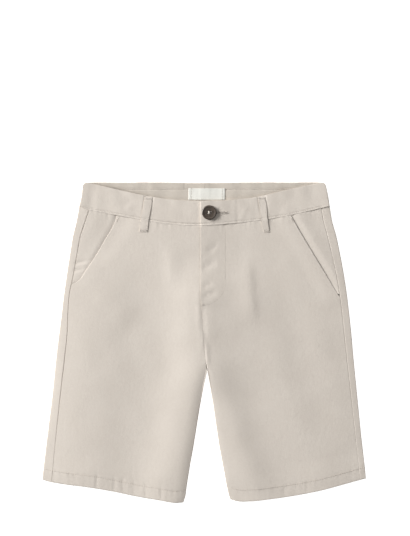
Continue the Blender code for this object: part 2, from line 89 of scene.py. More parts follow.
SIDES = table(
    "y edge_right seam_right edge_left seam_left",
    (193.0, -146.8, 13.8, 145.4, 9.6),
    (178.0, -148.4, 13.8, 148.1, 9.6),
    (164.4, -150.9, 13.8, 149.9, 9.8),
    (146.0, -154.2, 11.4, 152.9, 10.1),
    (129.6, -158.2, 9.9, 157.5, 10.3),
    (105.6, -162.2, 9.4, 162.6, 9.7),
    (81.6, -165.8, 8.7, 167.0, 8.8),
    (57.6, -169.3, 7.3, 170.6, 8.5),
    (33.6, -172.1, 8.4, 173.5, 8.3),
    (9.6, -175.2, 10.6, 176.0, 8.3),
    (-14.4, -178.1, 11.0, 178.1, 7.9),
    (-62.4, -183.0, 10.4, 182.8, 7.2),
    (-110.4, -189.0, 11.2, 187.6, 6.9),
    (-158.4, -194.7, 12.2, 192.9, 7.2),
    (-170.0, -195.9, 12.4, 193.9, 7.3),
)

BAND_FRONT = table(
    "x top seam",
    (-150.0, 192.4, 164.4),
    (-140.0, 191.6, 159.8),
    (-124.0, 188.6, 156.4),
    (-107.7, 184.8, 153.4),
    (-75.3, 177.6, 147.4),
    (-41.7, 172.2, 142.2),
    (-5.7, 170.4, 140.6),
    (32.7, 171.6, 143.2),
    (62.7, 175.2, 146.4),
    (92.7, 182.2, 151.0),
    (118.0, 187.8, 156.4),
    (132.3, 190.8, 159.8),
    (141.0, 191.8, 162.0),
    (150.0, 192.4, 164.2),
)

BAND_BACK = table(
    "x top seam",
    (-150.0, 192.4, 164.4),
    (-138.0, 193.0, 162.4),
    (-100.0, 193.1, 161.6),
    (-34.0, 193.0, 161.6),
    (-14.0, 192.5, 161.6),
    (14.0, 192.6, 161.6),
    (34.0, 193.0, 161.6),
    (100.0, 193.1, 161.6),
    (138.0, 193.0, 162.4),
    (150.0, 192.4, 164.2),
)

HEM = {
    "right": table(
        "x y",
        (-196.0, -163.0),
        (-190.5, -165.0),
        (-176.0, -168.0),
        (-140.0, -172.8),
        (-111.3, -177.6),
        (-82.5, -183.6),
        (-53.7, -188.4),
        (-34.0, -191.4),
        (-24.0, -190.6),
    ),
    "left": table(
        "x y",
        (29.0, -186.0),
        (39.9, -189.4),
        (54.3, -189.6),
        (83.1, -186.6),
        (111.9, -182.2),
        (140.7, -176.4),
        (169.5, -168.6),
        (183.9, -164.6),
        (195.0, -161.6),
    ),
}

CENTRE = table(
    "y front under back",
    (200.0, FLY_X, 20.0, 0.0),
    (74.0, FLY_X, 20.0, 0.0),
    (62.0, FLY_X, 17.0, 0.0),
    (54.0, FLY_X, 9.0, 0.0),
    (FLY_END_Y + 2, -4.2, -4.2, 0.2),
    (20.0, -2.1, -2.1, 0.5),
    (0.0, -1.2, -1.2, 0.9),
    (-20.0, 1.0, 1.0, 1.8),
    (CROTCH_Y, 3.0, 3.0, 3.0),
)

INSEAM = table(
    "y right left",
    (CROTCH_Y, 3.0, 3.0),
    (-50.4, -0.9, 6.0),
    (-74.4, -5.4, 9.9),
    (-98.4, -9.3, 13.2),
    (-122.4, -13.1, 16.8),
    (-146.4, -17.5, 21.4),
    (-170.4, -21.3, 25.7),
    (-183.0, -22.9, 28.6),
    (-192.0, -26.0, 33.0),
)

MOUTH = {
    "right": table(
        "y x",
        (170.0, -97.0),
        (152.4, -105.4),
        (147.0, -107.0),
        (141.6, -109.2),
        (123.6, -119.4),
        (105.6, -130.0),
        (87.6, -142.0),
        (76.0, -150.0),
        (72.6, -154.0),
        (69.6, -162.0),
    ),
    "left": table(
        "y x",
        (170.0, 95.0),
        (152.4, 104.0),
        (141.6, 110.0),
        (106.0, 131.0),
        (74.4, 150.3),
        (56.0, 161.2),
    ),
}
MOUTH_END_Y = {"right": 70.0, "left": 57.0}
MOUTH_FLAT = {"right": (90.0, 130.0), "left": (41.0, 63.0)}  # where a mouth starts to lie flat, and does
MOUTH_SLANT = 0.85  # the distance across a mouth for each mm along X

# Broad lengthwise folds: the leg they lie on, the crest from its top end over its middle
# to its low end, the half width towards -X and towards +X, and the height.
FOLDS = table(
    "leg y_top x_top y_mid x_mid y_low x_low left right height",
    (-1, 110.0, -8.0, -34.0, -8.0, -190.0, -44.0, 33.0, 36.0, 3.5),
    (-1, 125.0, -136.0, -34.0, -140.0, -180.0, -146.0, 42.0, 50.0, 1.9),
    (1, 0.0, 4.0, -68.0, 21.0, -186.0, 65.0, 34.0, 27.0, 2.6),
    (1, 96.0, 46.0, -32.0, 86.0, -184.0, 142.0, 48.0, 28.0, 1.3),
    (1, 70.0, 118.0, -32.0, 147.0, -120.0, 164.0, 30.0, 24.0, 0.6),
)

# Smaller creases: their two ends, the sideways bow of their middle, their half widths on
# the two sides and the height of the crest. A trough has a negative height.
CREASES = table(
    "x0 y0 x1 y1 bow near far height",
    (-129.2, -155.0, -130.2, -175.0, 0.0, 1.6, 2.6, -0.2),
    (-109.0, -158.0, -109.6, -179.0, 0.0, 1.6, 2.8, -0.22),
    (-98.6, -160.0, -98.2, -181.0, 0.0, 1.5, 2.6, -0.2),
    (-84.6, -163.0, -84.0, -184.0, 0.0, 1.6, 2.4, -0.14),
    (-71.6, -166.0, -71.0, -187.0, 0.0, 1.5, 2.6, -0.17),
    (-53.6, -169.0, -52.6, -190.0, 0.0, 1.6, 2.8, -0.14),
    (95.4, -168.0, 94.6, -187.0, 0.0, 1.8, 3.0, -0.2),
    (122.6, -163.0, 122.0, -182.0, 0.0, 1.8, 2.6, -0.12),
    (-41.0, 118.0, -38.0, 66.0, 0.0, 9.0, 12.0, 0.5),
    (-7.6, 68.0, -6.6, 12.0, 0.3, 4.0, 3.2, 0.32),
    (-3.6, 18.0, -1.4, -14.0, 0.0, 6.0, 2.6, 0.3),
    (3.4, 46.0, 6.0, 0.0, 0.0, 5.0, 10.0, 0.4),
    (1.4, 2.0, 3.4, -26.0, 0.2, 1.6, 3.2, 0.35),
    (52.0, 100.0, 60.0, 24.0, -2.0, 14.0, 7.0, 0.75),
    (-3.0, 128.0, 10.0, 136.0, 0.5, 3.4, 4.0, -0.35),
    (2.0, 110.0, 16.0, 120.0, -1.0, 3.4, 4.4, -0.4),
    (-3.0, 88.0, 14.0, 97.0, 1.0, 4.0, 5.0, -0.4),
    (-3.0, 66.0, 10.0, 72.0, 0.6, 3.2, 4.0, -0.3),
    (-2.0, 54.0, 15.0, 61.0, 1.0, 3.4, 4.0, -0.35),
    (-130.0, 62.0, -92.0, 20.0, 4.0, 12.0, 16.0, 0.5),
    (-157.0, 95.0, -139.0, 98.0, 0.4, 1.8, 2.4, -0.45),
    (-159.0, 86.0, -145.0, 88.0, 0.3, 1.6, 2.2, -0.4),
    (-139.0, 150.0, -121.0, 155.0, 0.5, 2.0, 2.6, -0.4),
    (128.0, 152.0, 143.0, 156.0, 0.5, 2.2, 3.0, -0.3),
)


def curve(data, column, at):
    """A smooth line through a table's column, read at values of its first column."""
    key, value = data[data.dtype.names[0]], data[column]
    slope = np.gradient(value, key)
    at = np.clip(at, key[0], key[-1])
    i = np.clip(np.searchsorted(key, at) - 1, 0, len(key) - 2)
    span = key[i + 1] - key[i]
    s = (at - key[i]) / span
    return (
        (2 * s**3 - 3 * s**2 + 1) * value[i]
        + (s**3 - 2 * s**2 + s) * span * slope[i]
        + (3 * s**2 - 2 * s**3) * value[i + 1]
        + (s**3 - s**2) * span * slope[i + 1]
    )


def line(data, column, at):
    return np.interp(at, data[data.dtype.names[0]], data[column])


def ease(value, start, end):
    """0 before start, 1 after end, and an even bend between them."""
    s = np.clip((value - start) / (end - start), 0.0, 1.0)
    return s * s * (3 - 2 * s)


def graded(*stops):
    """Places along a line in steps that change between the stops, each (place, step)."""
    place, step = np.array(stops, float).T
    at = [place[0]]
    while at[-1] < place[-1]:
        at.append(at[-1] + np.interp(at[-1], place, step))
    at = np.array(at)
    return place[0] + (at - place[0]) * (place[-1] - place[0]) / (at[-1] - place[0])


def edge_x(side, y):
    return curve(SIDES, "edge_" + side, y)


def side_seam_x(side, y):
    return edge_x(side, y) - SIDE_OF[side] * curve(SIDES, "seam_" + side, y)


def inner_x(side, y, layer):
    """The inner edge of a panel: the centre line down to the crotch, then the leg."""
    return np.where(y > CROTCH_Y, line(CENTRE, layer, y), line(INSEAM, side, y))


def above_hem(side, x, y):
    return y - curve(HEM[side], "y", x)


def place(side, layer, across, down):
    """A point of the laid panel, across from its outer edge, 0, to its inner edge, 1, and
    down from the waistband seam, 0, to the hem, 1."""
    seam = BAND_BACK if layer == "back" else BAND_FRONT
    x_top = edge_x(side, 164.3), inner_x(side, 141.0, layer)
    x_low = edge_x(side, -163.0), line(INSEAM, side, -190.0)

    def y_at(a):
        top = curve(seam, "seam", x_top[0] + (x_top[1] - x_top[0]) * a) - SEAM / 2
        low = curve(HEM[side], "y", x_low[0] + (x_low[1] - x_low[0]) * a)
        return top + (low - top) * down

    x0 = edge_x(side, y_at(0.0))
    x1 = inner_x(side, y_at(1.0), layer) + SIDE_OF[side] * SEAM / 2
    return x0 + (x1 - x0) * across, y_at(across)


def across_at(side, layer, down, x_of_y):
    """Where a row crosses a line that is given as x for each y."""
    low, high = np.zeros_like(down), np.ones_like(down)
    for _ in range(30):
        middle = (low + high) / 2
        x, y = place(side, layer, middle, down)
        inside = SIDE_OF[side] * (x - x_of_y(y)) > 0
        low, high = np.where(inside, middle, low), np.where(inside, high, middle)
    return (low + high) / 2


def ripple(x, y, seed, long, short, waves=14):
    """An uneven surface from -1 to 1 of sine waves that run all ways, with wavelengths
    between long and short."""
    rng = np.random.default_rng(seed)
    total = np.zeros_like(x)
    for _ in range(waves):
        length = math.exp(rng.uniform(math.log(short), math.log(long)))
        turn, phase = rng.uniform(0, math.tau, 2)
        total = total + np.sin((x * math.cos(turn) + y * math.sin(turn)) * math.tau / length + phase)
    return total / math.sqrt(waves * 2)


def folds(side, x, y):
    """The folds of one leg, and above the crotch those of both."""
    height = np.zeros_like(x)
    for f in FOLDS:
        shown = 1.0 if f["leg"] == SIDE_OF[side] else 1 - ease(-y, 18.0, 75.0)
        wide = 1.35 if f["leg"] < SIDE_OF[side] else 1.0
        crest = np.interp(y, (f["y_low"], f["y_mid"], f["y_top"]), (f["x_low"], f["x_mid"], f["x_top"]))
        off = x - crest
        half = np.where(off < 0, f["left"], f["right"]) * wide
        length = ease(f["y_top"] - y, 0.0, 60.0) * (1 - 0.35 * ease(-y, 150.0, 185.0))
        height = height + f["height"] * shown * length * np.exp(-((off / half) ** 2))
    return height


def soft_lines(lines, x, y):
    """The crests of a table of creases."""
    height = np.zeros_like(x)
    for c in lines:
        run = np.array([c["x1"] - c["x0"], c["y1"] - c["y0"]])
        length = np.hypot(*run)
        along = ((x - c["x0"]) * run[0] + (y - c["y0"]) * run[1]) / length**2
        off = ((y - c["y0"]) * run[0] - (x - c["x0"]) * run[1]) / length - c["bow"] * 4 * along * (1 - along)
        half = np.where(off < 0, c["near"], c["far"])
        ends = ease(along, -0.15, 0.35) * (1 - ease(along, 0.65, 1.15))
        height = height + c["height"] * ends * np.exp(-((off / half) ** 2))
    return height


def fly_line_off(x, y):
    """Distance outwards from the stitching that holds the fly."""
    reach = FLY_LINE_X - FLY_X
    fall = FLY_TURN_Y - FLY_END_Y
    turned = (np.hypot((x - FLY_X) / reach, np.maximum(FLY_TURN_Y - y, 0.0) / fall) - 1) * fall
    return np.where(y > FLY_TURN_Y, x - FLY_LINE_X, turned)


def groove(off, depth, half):
    return -depth * np.exp(-((off / half) ** 2))


def pucker(along, off, seed, depth, pitch, reach):
    """Little gathers that stitching pulls into the cloth, strongest at the stitches."""
    return depth * ripple(along, 0 * along, seed, pitch * 1.7, pitch * 0.6) * np.exp(-np.abs(off) / reach)


def roll_off(off, depth, radius):
    """How far a folded or seamed edge turns down, by the distance from the edge."""
    rest = 1 - np.clip(off / radius, 0.0, 1.0)
    return -depth * (1 - np.sqrt(1 - rest**2))


def waist_roll(x, y):
    """How far the top edge of a panel turns down at the waistband."""
    return roll_off(curve(BAND_FRONT, "seam", x) - SEAM / 2 - y, TOP_ROLL, TOP_ROLL_R)


def waist_step(x):
    """How much the fronts rise to the waistband, all but the outer part of the left one."""
    return 0.36 * (1 - ease(x, 55.0, 85.0))


def panel_z(side, x, y):
    """Height of a front's outer face, away from its edges."""
    above = above_hem(side, x, y)
    seam_y = curve(BAND_FRONT, "seam", x)
    uneven = 0.08 * ripple(x, y, seed=5, long=70.0, short=25.0)
    z = PANEL_Z + folds(side, x, y) + soft_lines(CREASES, x, y) + uneven
    z = z + (HEM_Z - PANEL_Z) * (1 - ease(above, HEM_DEPTH, 40.0))
    z = z + (WAIST_Z + waist_step(x) - z) * (1 - ease(seam_y - y, 4.0, 40.0))
    off_mouth = np.abs(x - curve(MOUTH[side], "x", y)) * MOUTH_SLANT
    mouth = (1 - ease(off_mouth, 6.0, 24.0)) * ease(y, *MOUTH_FLAT[side])
    z = z + (POCKET_Z[side] - z) * mouth
    off_row = above - HEM_DEPTH
    gather = 0.09 * (0.35 + 0.65 * ease(HEM_DEPTH - above, -3.0, 2.0))
    gather = pucker(x, off_row, seed=11, depth=gather, pitch=9.0, reach=11.0)
    z = z + groove(off_row, HEM_GROOVE[side], STITCH_DIP_R) + gather
    return z + pucker(x, seam_y - y, seed=12, depth=0.12, pitch=8.0, reach=5.0)


def side_drop(side, out, y):
    """How much a front bends down towards the side fold, most at the right thigh."""
    depth = 0.16 + 0.44 * np.exp(-(((y + 45.0) / 50.0) ** 2)) if side == "right" else 0.12
    return depth * np.clip(1 - out / SIDE_BEND[side], 0.0, 1.0) ** 2


def side_height(side, y):
    """The height of the side fold."""
    x = edge_x(side, y) - SIDE_OF[side] * SIDE_OUT
    return panel_z(side, x, y) - side_drop(side, SIDE_OUT, y)


def front_z(side, x, y):
    """Height of the outer face of the fronts, without the fly's lap."""
    out = SIDE_OF[side] * (edge_x(side, y) - x)
    rim = np.clip((SIDE_OUT - out) / SIDE_OUT, 0.0, 1.0)
    on_rim = side_height(side, y) / 2 * (1 + np.sqrt(1 - rim**2))
    return np.where(out < SIDE_OUT, on_rim, panel_z(side, x, y) - side_drop(side, out, y))


FLY_SLOPE = table(
    "x lift dip",
    (FLY_X, 1.6, 0.15),
    (2.0, 1.35, 0.5),
    (12.0, 0.9, 1.2),
    (22.0, 0.45, 1.7),
    (42.0, 0.0, 1.7),
)


def fly_lift(x, y):
    """How much the left front is raised over the right one's extension, and less and less
    towards the stitching."""
    down = 0.4 + 0.6 * ease(y, 60.0, 115.0)
    at_turn = 1 - ease(y, FLY_TURN_Y - 6.0, FLY_TURN_Y + 10.0)
    inside_row = 1 - ease(fly_line_off(x, y), -4.0, 1.5)
    lift = curve(FLY_SLOPE, "lift", x) * down + 0.035 * at_turn * inside_row
    return lift * ease(y, FLY_END_Y - 7.0, FLY_END_Y + 5.0)


def leg_share(y):
    """0 above the crotch, where the panels are flat to the centre, and 1 on the legs."""
    return ease(-y, -CROTCH_Y - 10.0, -CROTCH_Y + 4.0)


ROLL = np.radians(np.linspace(80.0, 4.0, 13))  # round the inner leg fold to the inseam


def roll_out(leg):
    """How far a panel's last columns lie from its inner edge: even above the crotch, and
    closing round the roll on the legs."""
    even = np.linspace(1.0, 0.0, len(ROLL))[None, :]
    return INNER_OUT * (even + (1 - np.cos(ROLL)[None, :] - even) * np.minimum(leg * 1.6, 1.0))


def roll_up(y):
    """How far the same columns lie above or below the inseam, from 0 to 1, more at the crotch."""
    return np.sin(ROLL)[None, :] + 0.06 * (1 - ease(-y, 44.0, 64.0))


RIM_SHARP = 50.0  # degrees, from which an edge is shaded as a corner


def new_object(name, data):
    obj = bpy.data.objects.new(name, data)
    bpy.context.collection.objects.link(obj)
    return obj


def run_lengths(grid, axis):
    """How far each point of a grid is from the first of its row or column."""
    steps = np.linalg.norm(np.diff(grid, axis=axis), axis=-1)
    start = np.zeros_like(np.take(grid[..., 0], [0], axis))
    return np.concatenate([start, np.cumsum(steps, axis)], axis)


def shell(name, outer, wall, mat, inside_mat=None, bulge=0.3):
    """A closed wall inwards from a grid of points on the cloth's outer face, whose first
    columns face up, with a rounded rim. The wall may differ from point to point. The UV
    map holds the lengths along the cloth, in metres."""
    rows, columns, _ = outer.shape
    along = np.gradient(outer, axis=1)
    downward = np.gradient(outer, axis=0)
    normal = np.cross(along, downward)
    normal /= np.linalg.norm(normal, axis=-1, keepdims=True)
    turned = normal[rows // 2, 0, 2] > 0
    normal = normal if turned else -normal
    wall = np.broadcast_to(wall, (rows, columns))
    inner = outer - normal * wall[..., None]
    index = np.arange(rows * columns).reshape(rows, columns)
    quads = np.stack([index[:-1, :-1], index[1:, :-1], index[1:, 1:], index[:-1, 1:]], -1)
    quads = quads.reshape(-1, 4)
    if turned:
        quads = quads[:, ::-1]
    ring = np.concatenate([index[0, :-1], index[:-1, -1], index[-1, :0:-1], index[:0:-1, 0]])
    points = outer.reshape(-1, 3)
    inward = inner.reshape(-1, 3)
    around = np.roll(points[ring], -1, 0) - np.roll(points[ring], 1, 0)
    side_on = np.cross(around, normal.reshape(-1, 3)[ring])
    side_on /= np.linalg.norm(side_on, axis=-1, keepdims=True)
    inside = outer[1, columns // 2] - points[ring[columns // 2]]
    side_on = -side_on if np.dot(side_on[columns // 2], inside) > 0 else side_on
    count = rows * columns
    bands = [ring]
    rim_points = []
    for k, turn in enumerate(np.radians((45.0, 90.0, 135.0))):
        share = (1 - math.cos(turn)) / 2
        spot = points[ring] * (1 - share) + inward[ring] * share
        rim_points.append(spot + side_on * bulge * math.sin(turn))
        bands.append(2 * count + k * len(ring) + np.arange(len(ring)))
    bands.append(count + ring)
    faces = [quads, quads[:, ::-1] + count]
    for a, b in zip(bands, bands[1:]):
        strip = np.stack([a, b, np.roll(b, -1), np.roll(a, -1)], -1)
        faces.append(strip if turned else strip[:, ::-1])
    coords = np.concatenate([points, inward, *rim_points])
    flat = np.stack([run_lengths(outer, 1), run_lengths(outer, 0)], -1).reshape(-1, 2)
    flat = np.concatenate([flat, flat, *[flat[ring]] * len(rim_points)]) * MM
    faces = np.concatenate(faces)
    mesh = bpy.data.meshes.new(name)
    mesh.from_pydata(((coords - ORIGIN) * MM).tolist(), [], faces.tolist())
    mesh.uv_layers.new(name="cloth").data.foreach_set("uv", flat[faces.ravel()].ravel())
    mesh.shade_smooth()
    mesh.set_sharp_from_angle(angle=math.radians(RIM_SHARP))
    mesh.materials.append(mat)
    if inside_mat:
        mesh.materials.append(inside_mat)
        side = np.zeros(len(faces), np.int32)
        side[len(quads) : 2 * len(quads)] = 1
        mesh.polygons.foreach_set("material_index", side)
    return new_object(name, mesh)


def node_group(name, inputs, outputs):
    """A shader node group with named sockets, each (name, socket type, value)."""
    group = bpy.data.node_groups.new(name, "ShaderNodeTree")
    for label, kind, value in inputs:
        socket = group.interface.new_socket(label, in_out="INPUT", socket_type=kind)
        if value is not None:
            socket.default_value = value
    for label, kind in outputs:
        group.interface.new_socket(label, in_out="OUTPUT", socket_type=kind)
    return group, group.nodes.new("NodeGroupInput"), group.nodes.new("NodeGroupOutput")


def connect(tree, node, **inputs):
    """A node with its inputs set, each to a value or by a link from a socket. An input is
    named with _ for each space, or by i and its number."""
    for key, value in inputs.items():
        numbered = key[0] == "i" and key[1:].isdigit()
        socket = node.inputs[int(key[1:]) if numbered else key.replace("_", " ")]
        if isinstance(value, bpy.types.NodeSocket):
            tree.links.new(value, socket)
        else:
            socket.default_value = value
    return node


def put(tree, kind, settings=None, **inputs):
    """A new node with its properties and inputs set."""
    node = tree.nodes.new(kind)
    for key, value in (settings or {}).items():
        setattr(node, key, value)
    return connect(tree, node, **inputs)


def math_node(tree, operation, a, b=0.0, c=0.0):
    return put(tree, "ShaderNodeMath", {"operation": operation}, i0=a, i1=b, i2=c).outputs[0]


# Diagonal ribs of the twill, each a row of yarn floats, with uneven yarns.
TWILL, t_in, t_out = node_group(
    "Twill Weave",
    [
        ("Vector", "NodeSocketVector", None),
        ("Pitch", "NodeSocketFloat", 0.0006),
        ("Slant", "NodeSocketFloat", math.radians(62.0)),
        ("Unevenness", "NodeSocketFloat", 0.35),
    ],
    [("Height", "NodeSocketFloat"), ("Tone", "NodeSocketFloat")],
)


def wave(tree, turns):
    """A wave from 0 to 1, by the number of its turns."""
    angle = math_node(tree, "MULTIPLY", turns, math.tau)
    return math_node(tree, "MULTIPLY_ADD", math_node(tree, "SINE", angle), 0.5, 0.5)


FLOAT_LONG = 1.7  # a yarn float, for each pitch of the ribs
t_turn = put(
    TWILL,
    "ShaderNodeVectorRotate",
    {"rotation_type": "Z_AXIS"},
    Vector=t_in.outputs["Vector"],
    Angle=t_in.outputs["Slant"],
)
t_axes = put(TWILL, "ShaderNodeSeparateXYZ", Vector=t_turn.outputs[0])
t_waver = put(TWILL, "ShaderNodeTexNoise", Vector=t_in.outputs["Vector"], Scale=420.0, Detail=1.0)
t_shift = math_node(TWILL, "SUBTRACT", t_waver.outputs[0], 0.5)
t_shift = math_node(TWILL, "MULTIPLY", t_shift, t_in.outputs["Unevenness"])
t_across = math_node(TWILL, "DIVIDE", t_axes.outputs[0], t_in.outputs["Pitch"])
t_rib = wave(TWILL, math_node(TWILL, "ADD", t_across, t_shift))
t_long = math_node(TWILL, "MULTIPLY", t_in.outputs["Pitch"], FLOAT_LONG)
t_float = wave(TWILL, math_node(TWILL, "DIVIDE", t_axes.outputs[1], t_long))
t_yarn = put(TWILL, "ShaderNodeTexNoise", Vector=t_in.outputs["Vector"], Scale=1500.0, Detail=2.0)
t_height = math_node(TWILL, "MULTIPLY_ADD", t_float, 0.3, t_rib)
t_height = math_node(TWILL, "MULTIPLY_ADD", t_yarn.outputs[0], 0.25, t_height)
t_tone = math_node(TWILL, "MULTIPLY", t_waver.outputs[0], 0.65)
t_tone = math_node(TWILL, "MULTIPLY_ADD", t_rib, 0.35, t_tone)
connect(TWILL, t_out, Height=t_height, Tone=t_tone)

# The brushed, washed face: soft patches a few centimetres wide and finer flecks.
BRUSHED, b_in, b_out = node_group(
    "Brushed Face",
    [
        ("Vector", "NodeSocketVector", None),
        ("Patches", "NodeSocketFloat", 30.0),
        ("Flecks", "NodeSocketFloat", 260.0),
    ],
    [("Patch", "NodeSocketFloat"), ("Fleck", "NodeSocketFloat")],
)
for b_output, b_scale, b_rough in (("Patch", "Patches", 0.55), ("Fleck", "Flecks", 0.6)):
    b_noise = put(
        BRUSHED,
        "ShaderNodeTexNoise",
        Vector=b_in.outputs["Vector"],
        Scale=b_in.outputs[b_scale],
        Detail=3.0,
        Roughness=b_rough,
    )
    connect(BRUSHED, b_out, **{b_output: b_noise.outputs[0]})


def material(name):
    mat = bpy.data.materials.new(name)
    mat.use_nodes = True
    return mat, mat.node_tree, mat.node_tree.nodes["Principled BSDF"]


def use_group(tree, group, **inputs):
    return put(tree, "ShaderNodeGroup", {"node_tree": group}, **inputs)


def mix(tree, share, dark, light):
    """A colour between two, by a value from 0 to 1."""
    node = put(tree, "ShaderNodeMix", {"data_type": "RGBA"}, Factor=share)
    colour_in = [i for i in node.inputs if i.type == "RGBA"]
    for socket, value in zip(colour_in, (dark, light)):
        socket.default_value = (*value, 1.0)
    return next(o for o in node.outputs if o.type == "RGBA")


def ramp(tree, value, low, high):
    """A value from 0 at low to 1 at high."""
    return put(tree, "ShaderNodeMapRange", Value=value, From_Min=low, From_Max=high).outputs[0]


def bump(tree, height, strength, distance, **inputs):
    """The normals of a face that a height roughens."""
    made = put(tree, "ShaderNodeBump", Strength=strength, Distance=distance, Height=height, **inputs)
    return made.outputs[0]


def twill_material(name, dark, light, pitch=0.00062, rib=0.00008):
    """Cotton twill between two shades of one dye, with diagonal ribs and a soft nap."""
    mat, tree, shader = material(name)
    uv = put(tree, "ShaderNodeUVMap", {"uv_map": "cloth"}).outputs[0]
    coords = put(tree, "ShaderNodeTexCoord").outputs["Object"]
    weave = use_group(tree, TWILL, Vector=uv, Pitch=pitch)
    face = use_group(tree, BRUSHED, Vector=coords)
    patch = ramp(tree, face.outputs["Patch"], 0.32, 0.68)
    woven = ramp(tree, weave.outputs["Tone"], 0.1, 0.9)
    shade = math_node(tree, "MULTIPLY_ADD", woven, 0.45, math_node(tree, "MULTIPLY", patch, 0.2))
    shade = math_node(tree, "MULTIPLY_ADD", face.outputs["Fleck"], 0.35, shade)
    ribs = bump(tree, weave.outputs["Height"], strength=0.35, distance=rib)
    connect(
        tree,
        shader,
        Base_Color=mix(tree, shade, dark, light),
        Roughness=math_node(tree, "MULTIPLY_ADD", face.outputs["Fleck"], 0.15, 0.78),
        Specular_IOR_Level=0.25,
        Sheen_Weight=0.12,
        Sheen_Roughness=0.45,
        Sheen_Tint=(1.0, 0.97, 0.93, 1.0),
        Normal=bump(tree, face.outputs["Fleck"], strength=0.25, distance=0.0006, Normal=ribs),
    )
    return mat


twill = twill_material("cotton_twill", (0.585, 0.525, 0.462), (0.685, 0.628, 0.565))
twill_inside = twill_material("twill_wrong_side", (0.53, 0.475, 0.41), (0.61, 0.555, 0.49))

# Rows and columns of points, closer together at the seams, the hem's stitching and the fly.
PANEL_LONG = 325.0
PANEL_ROWS = graded(
    (0.0, 0.35),
    (2.0, 0.45),
    (7.0, 1.4),
    (PANEL_LONG - 18.0, 1.4),
    (PANEL_LONG - 15.5, 0.5),
    (PANEL_LONG - 12.5, 0.5),
    (PANEL_LONG - 10.0, 1.3),
    (PANEL_LONG - 3.0, 1.0),
    (PANEL_LONG, 0.35),
) / PANEL_LONG
FRONT_WIDE = 150.0
FRONT_COLUMNS = graded(
    (0.0, 0.35),
    (2.0, 0.5),
    (6.0, 1.15),
    (FRONT_WIDE - 40.0, 1.15),
    (FRONT_WIDE - 32.0, 0.75),
    (FRONT_WIDE, 0.6),
) / FRONT_WIDE


def hem_wall(above, plain):
    """The wall in the turned-up hem and above it."""
    return plain + (HEM_WALL - plain) * (1 - ease(above, HEM_DEPTH - 0.6, HEM_DEPTH + 0.6))


def front_panel(side):
    """From the pocket mouth, and below it the side seam, to the centre and the inseam."""
    s = SIDE_OF[side]
    layer = FRONT_LAYER[side]

    def outer_line(y):
        seam = side_seam_x(side, y) - s * SEAM / 2
        mouth = s * np.minimum(s * curve(MOUTH[side], "x", y), s * seam)
        return np.where(y > MOUTH_END_Y[side], mouth, seam)

    start = across_at(side, layer, PANEL_ROWS, outer_line)[:, None]
    down = PANEL_ROWS[:, None]
    end_x, end_y = place(side, layer, 1.0, down)
    start_x, _ = place(side, layer, start, down)
    width = np.abs(end_x - start_x)
    leg = leg_share(end_y)
    flat = FRONT_COLUMNS[None, :-1] * (1 - INNER_OUT / width)
    share = np.concatenate([flat, 1 - roll_out(leg) / width], axis=1)
    x, y = place(side, layer, start + (1 - start) * share, down)
    z = front_z(side, x, y)
    if side == "left":
        z = z + fly_lift(x, y)
        z = z + groove(fly_line_off(x, y), 0.04, 0.7) * ease(y, FLY_END_Y - 6, FLY_END_Y)
        z = z + roll_off(x - end_x, 0.04 + 0.08 * ease(y, FLY_END_Y, FLY_END_Y + 8), 0.8)
    else:
        below_fly = 1 - ease(y, FLY_END_Y - 4, FLY_END_Y + 3)
        z = z - curve(FLY_SLOPE, "dip", x) * ease(x, FLY_X - 1.8, FLY_X + 2.0) * (1 - below_fly)
        z = z + roll_off(end_x - x, 0.04, SEAM_ROLL_R) * below_fly
    inward = s * (x - end_x)
    depth, wide = INNER_BEND[side]
    z = z - depth * leg * np.clip(1 - inward / wide, 0.0, 1.0) ** 2
    n = len(ROLL)
    rolled = INNER_R[side] + (z[:, -n - 1, None] - INNER_R[side]) * roll_up(end_y)
    z[:, -n:] += (rolled - z[:, -n:]) * leg
    edge_roll = EDGE_ROLL["front"][side] * (1 - 0.7 * ease(-y, 50.0, 140.0))
    z = z + waist_roll(x, y)
    z = z + roll_off(s * (start_x - x), edge_roll, SEAM_ROLL_R)
    above = above_hem(side, x, y)
    z = z + roll_off(above, HEM_ROLL, HEM_ROLL_R) * (1 - leg * (inward < INNER_OUT))
    at_mouth = ease(y, MOUTH_END_Y[side] - 2, MOUTH_END_Y[side] + 6)
    on_fly = ease(y, FLY_END_Y, FLY_END_Y + 6) * (side == "left")
    thin = at_mouth * (1 - ease(s * (start_x - x), 0.5, 3.5)) + on_fly * (1 - ease(inward, 0.5, 3.5))
    wall = hem_wall(above, WALL) * (1 - 0.55 * thin)
    return shell("front_" + side, np.stack([x, y, z], -1), wall, twill, twill_inside, bulge=0.1)


fronts = {side: front_panel(side) for side in SIDE_OF}
for side, piece in fronts.items():
    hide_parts("front_" + side)
    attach(piece, "root")


# --------------------------------------------------------------- pocket facings
# The strip of twill that shows between each slanted pocket mouth and the side seam. It is
# sewn into the side seam and the waistband, and runs on under the front as the pocket's
# back, with nothing holding it to the mouth.

FACING_WALL = 0.7
FACING_DIP = 0.6  # how far it lies under the front's edge
FACING_RISE = {"right": 8.0, "left": 11.0}  # how far off the edge it is level with the front
FACING_UNDER = 8.0  # how far it runs on under the mouth


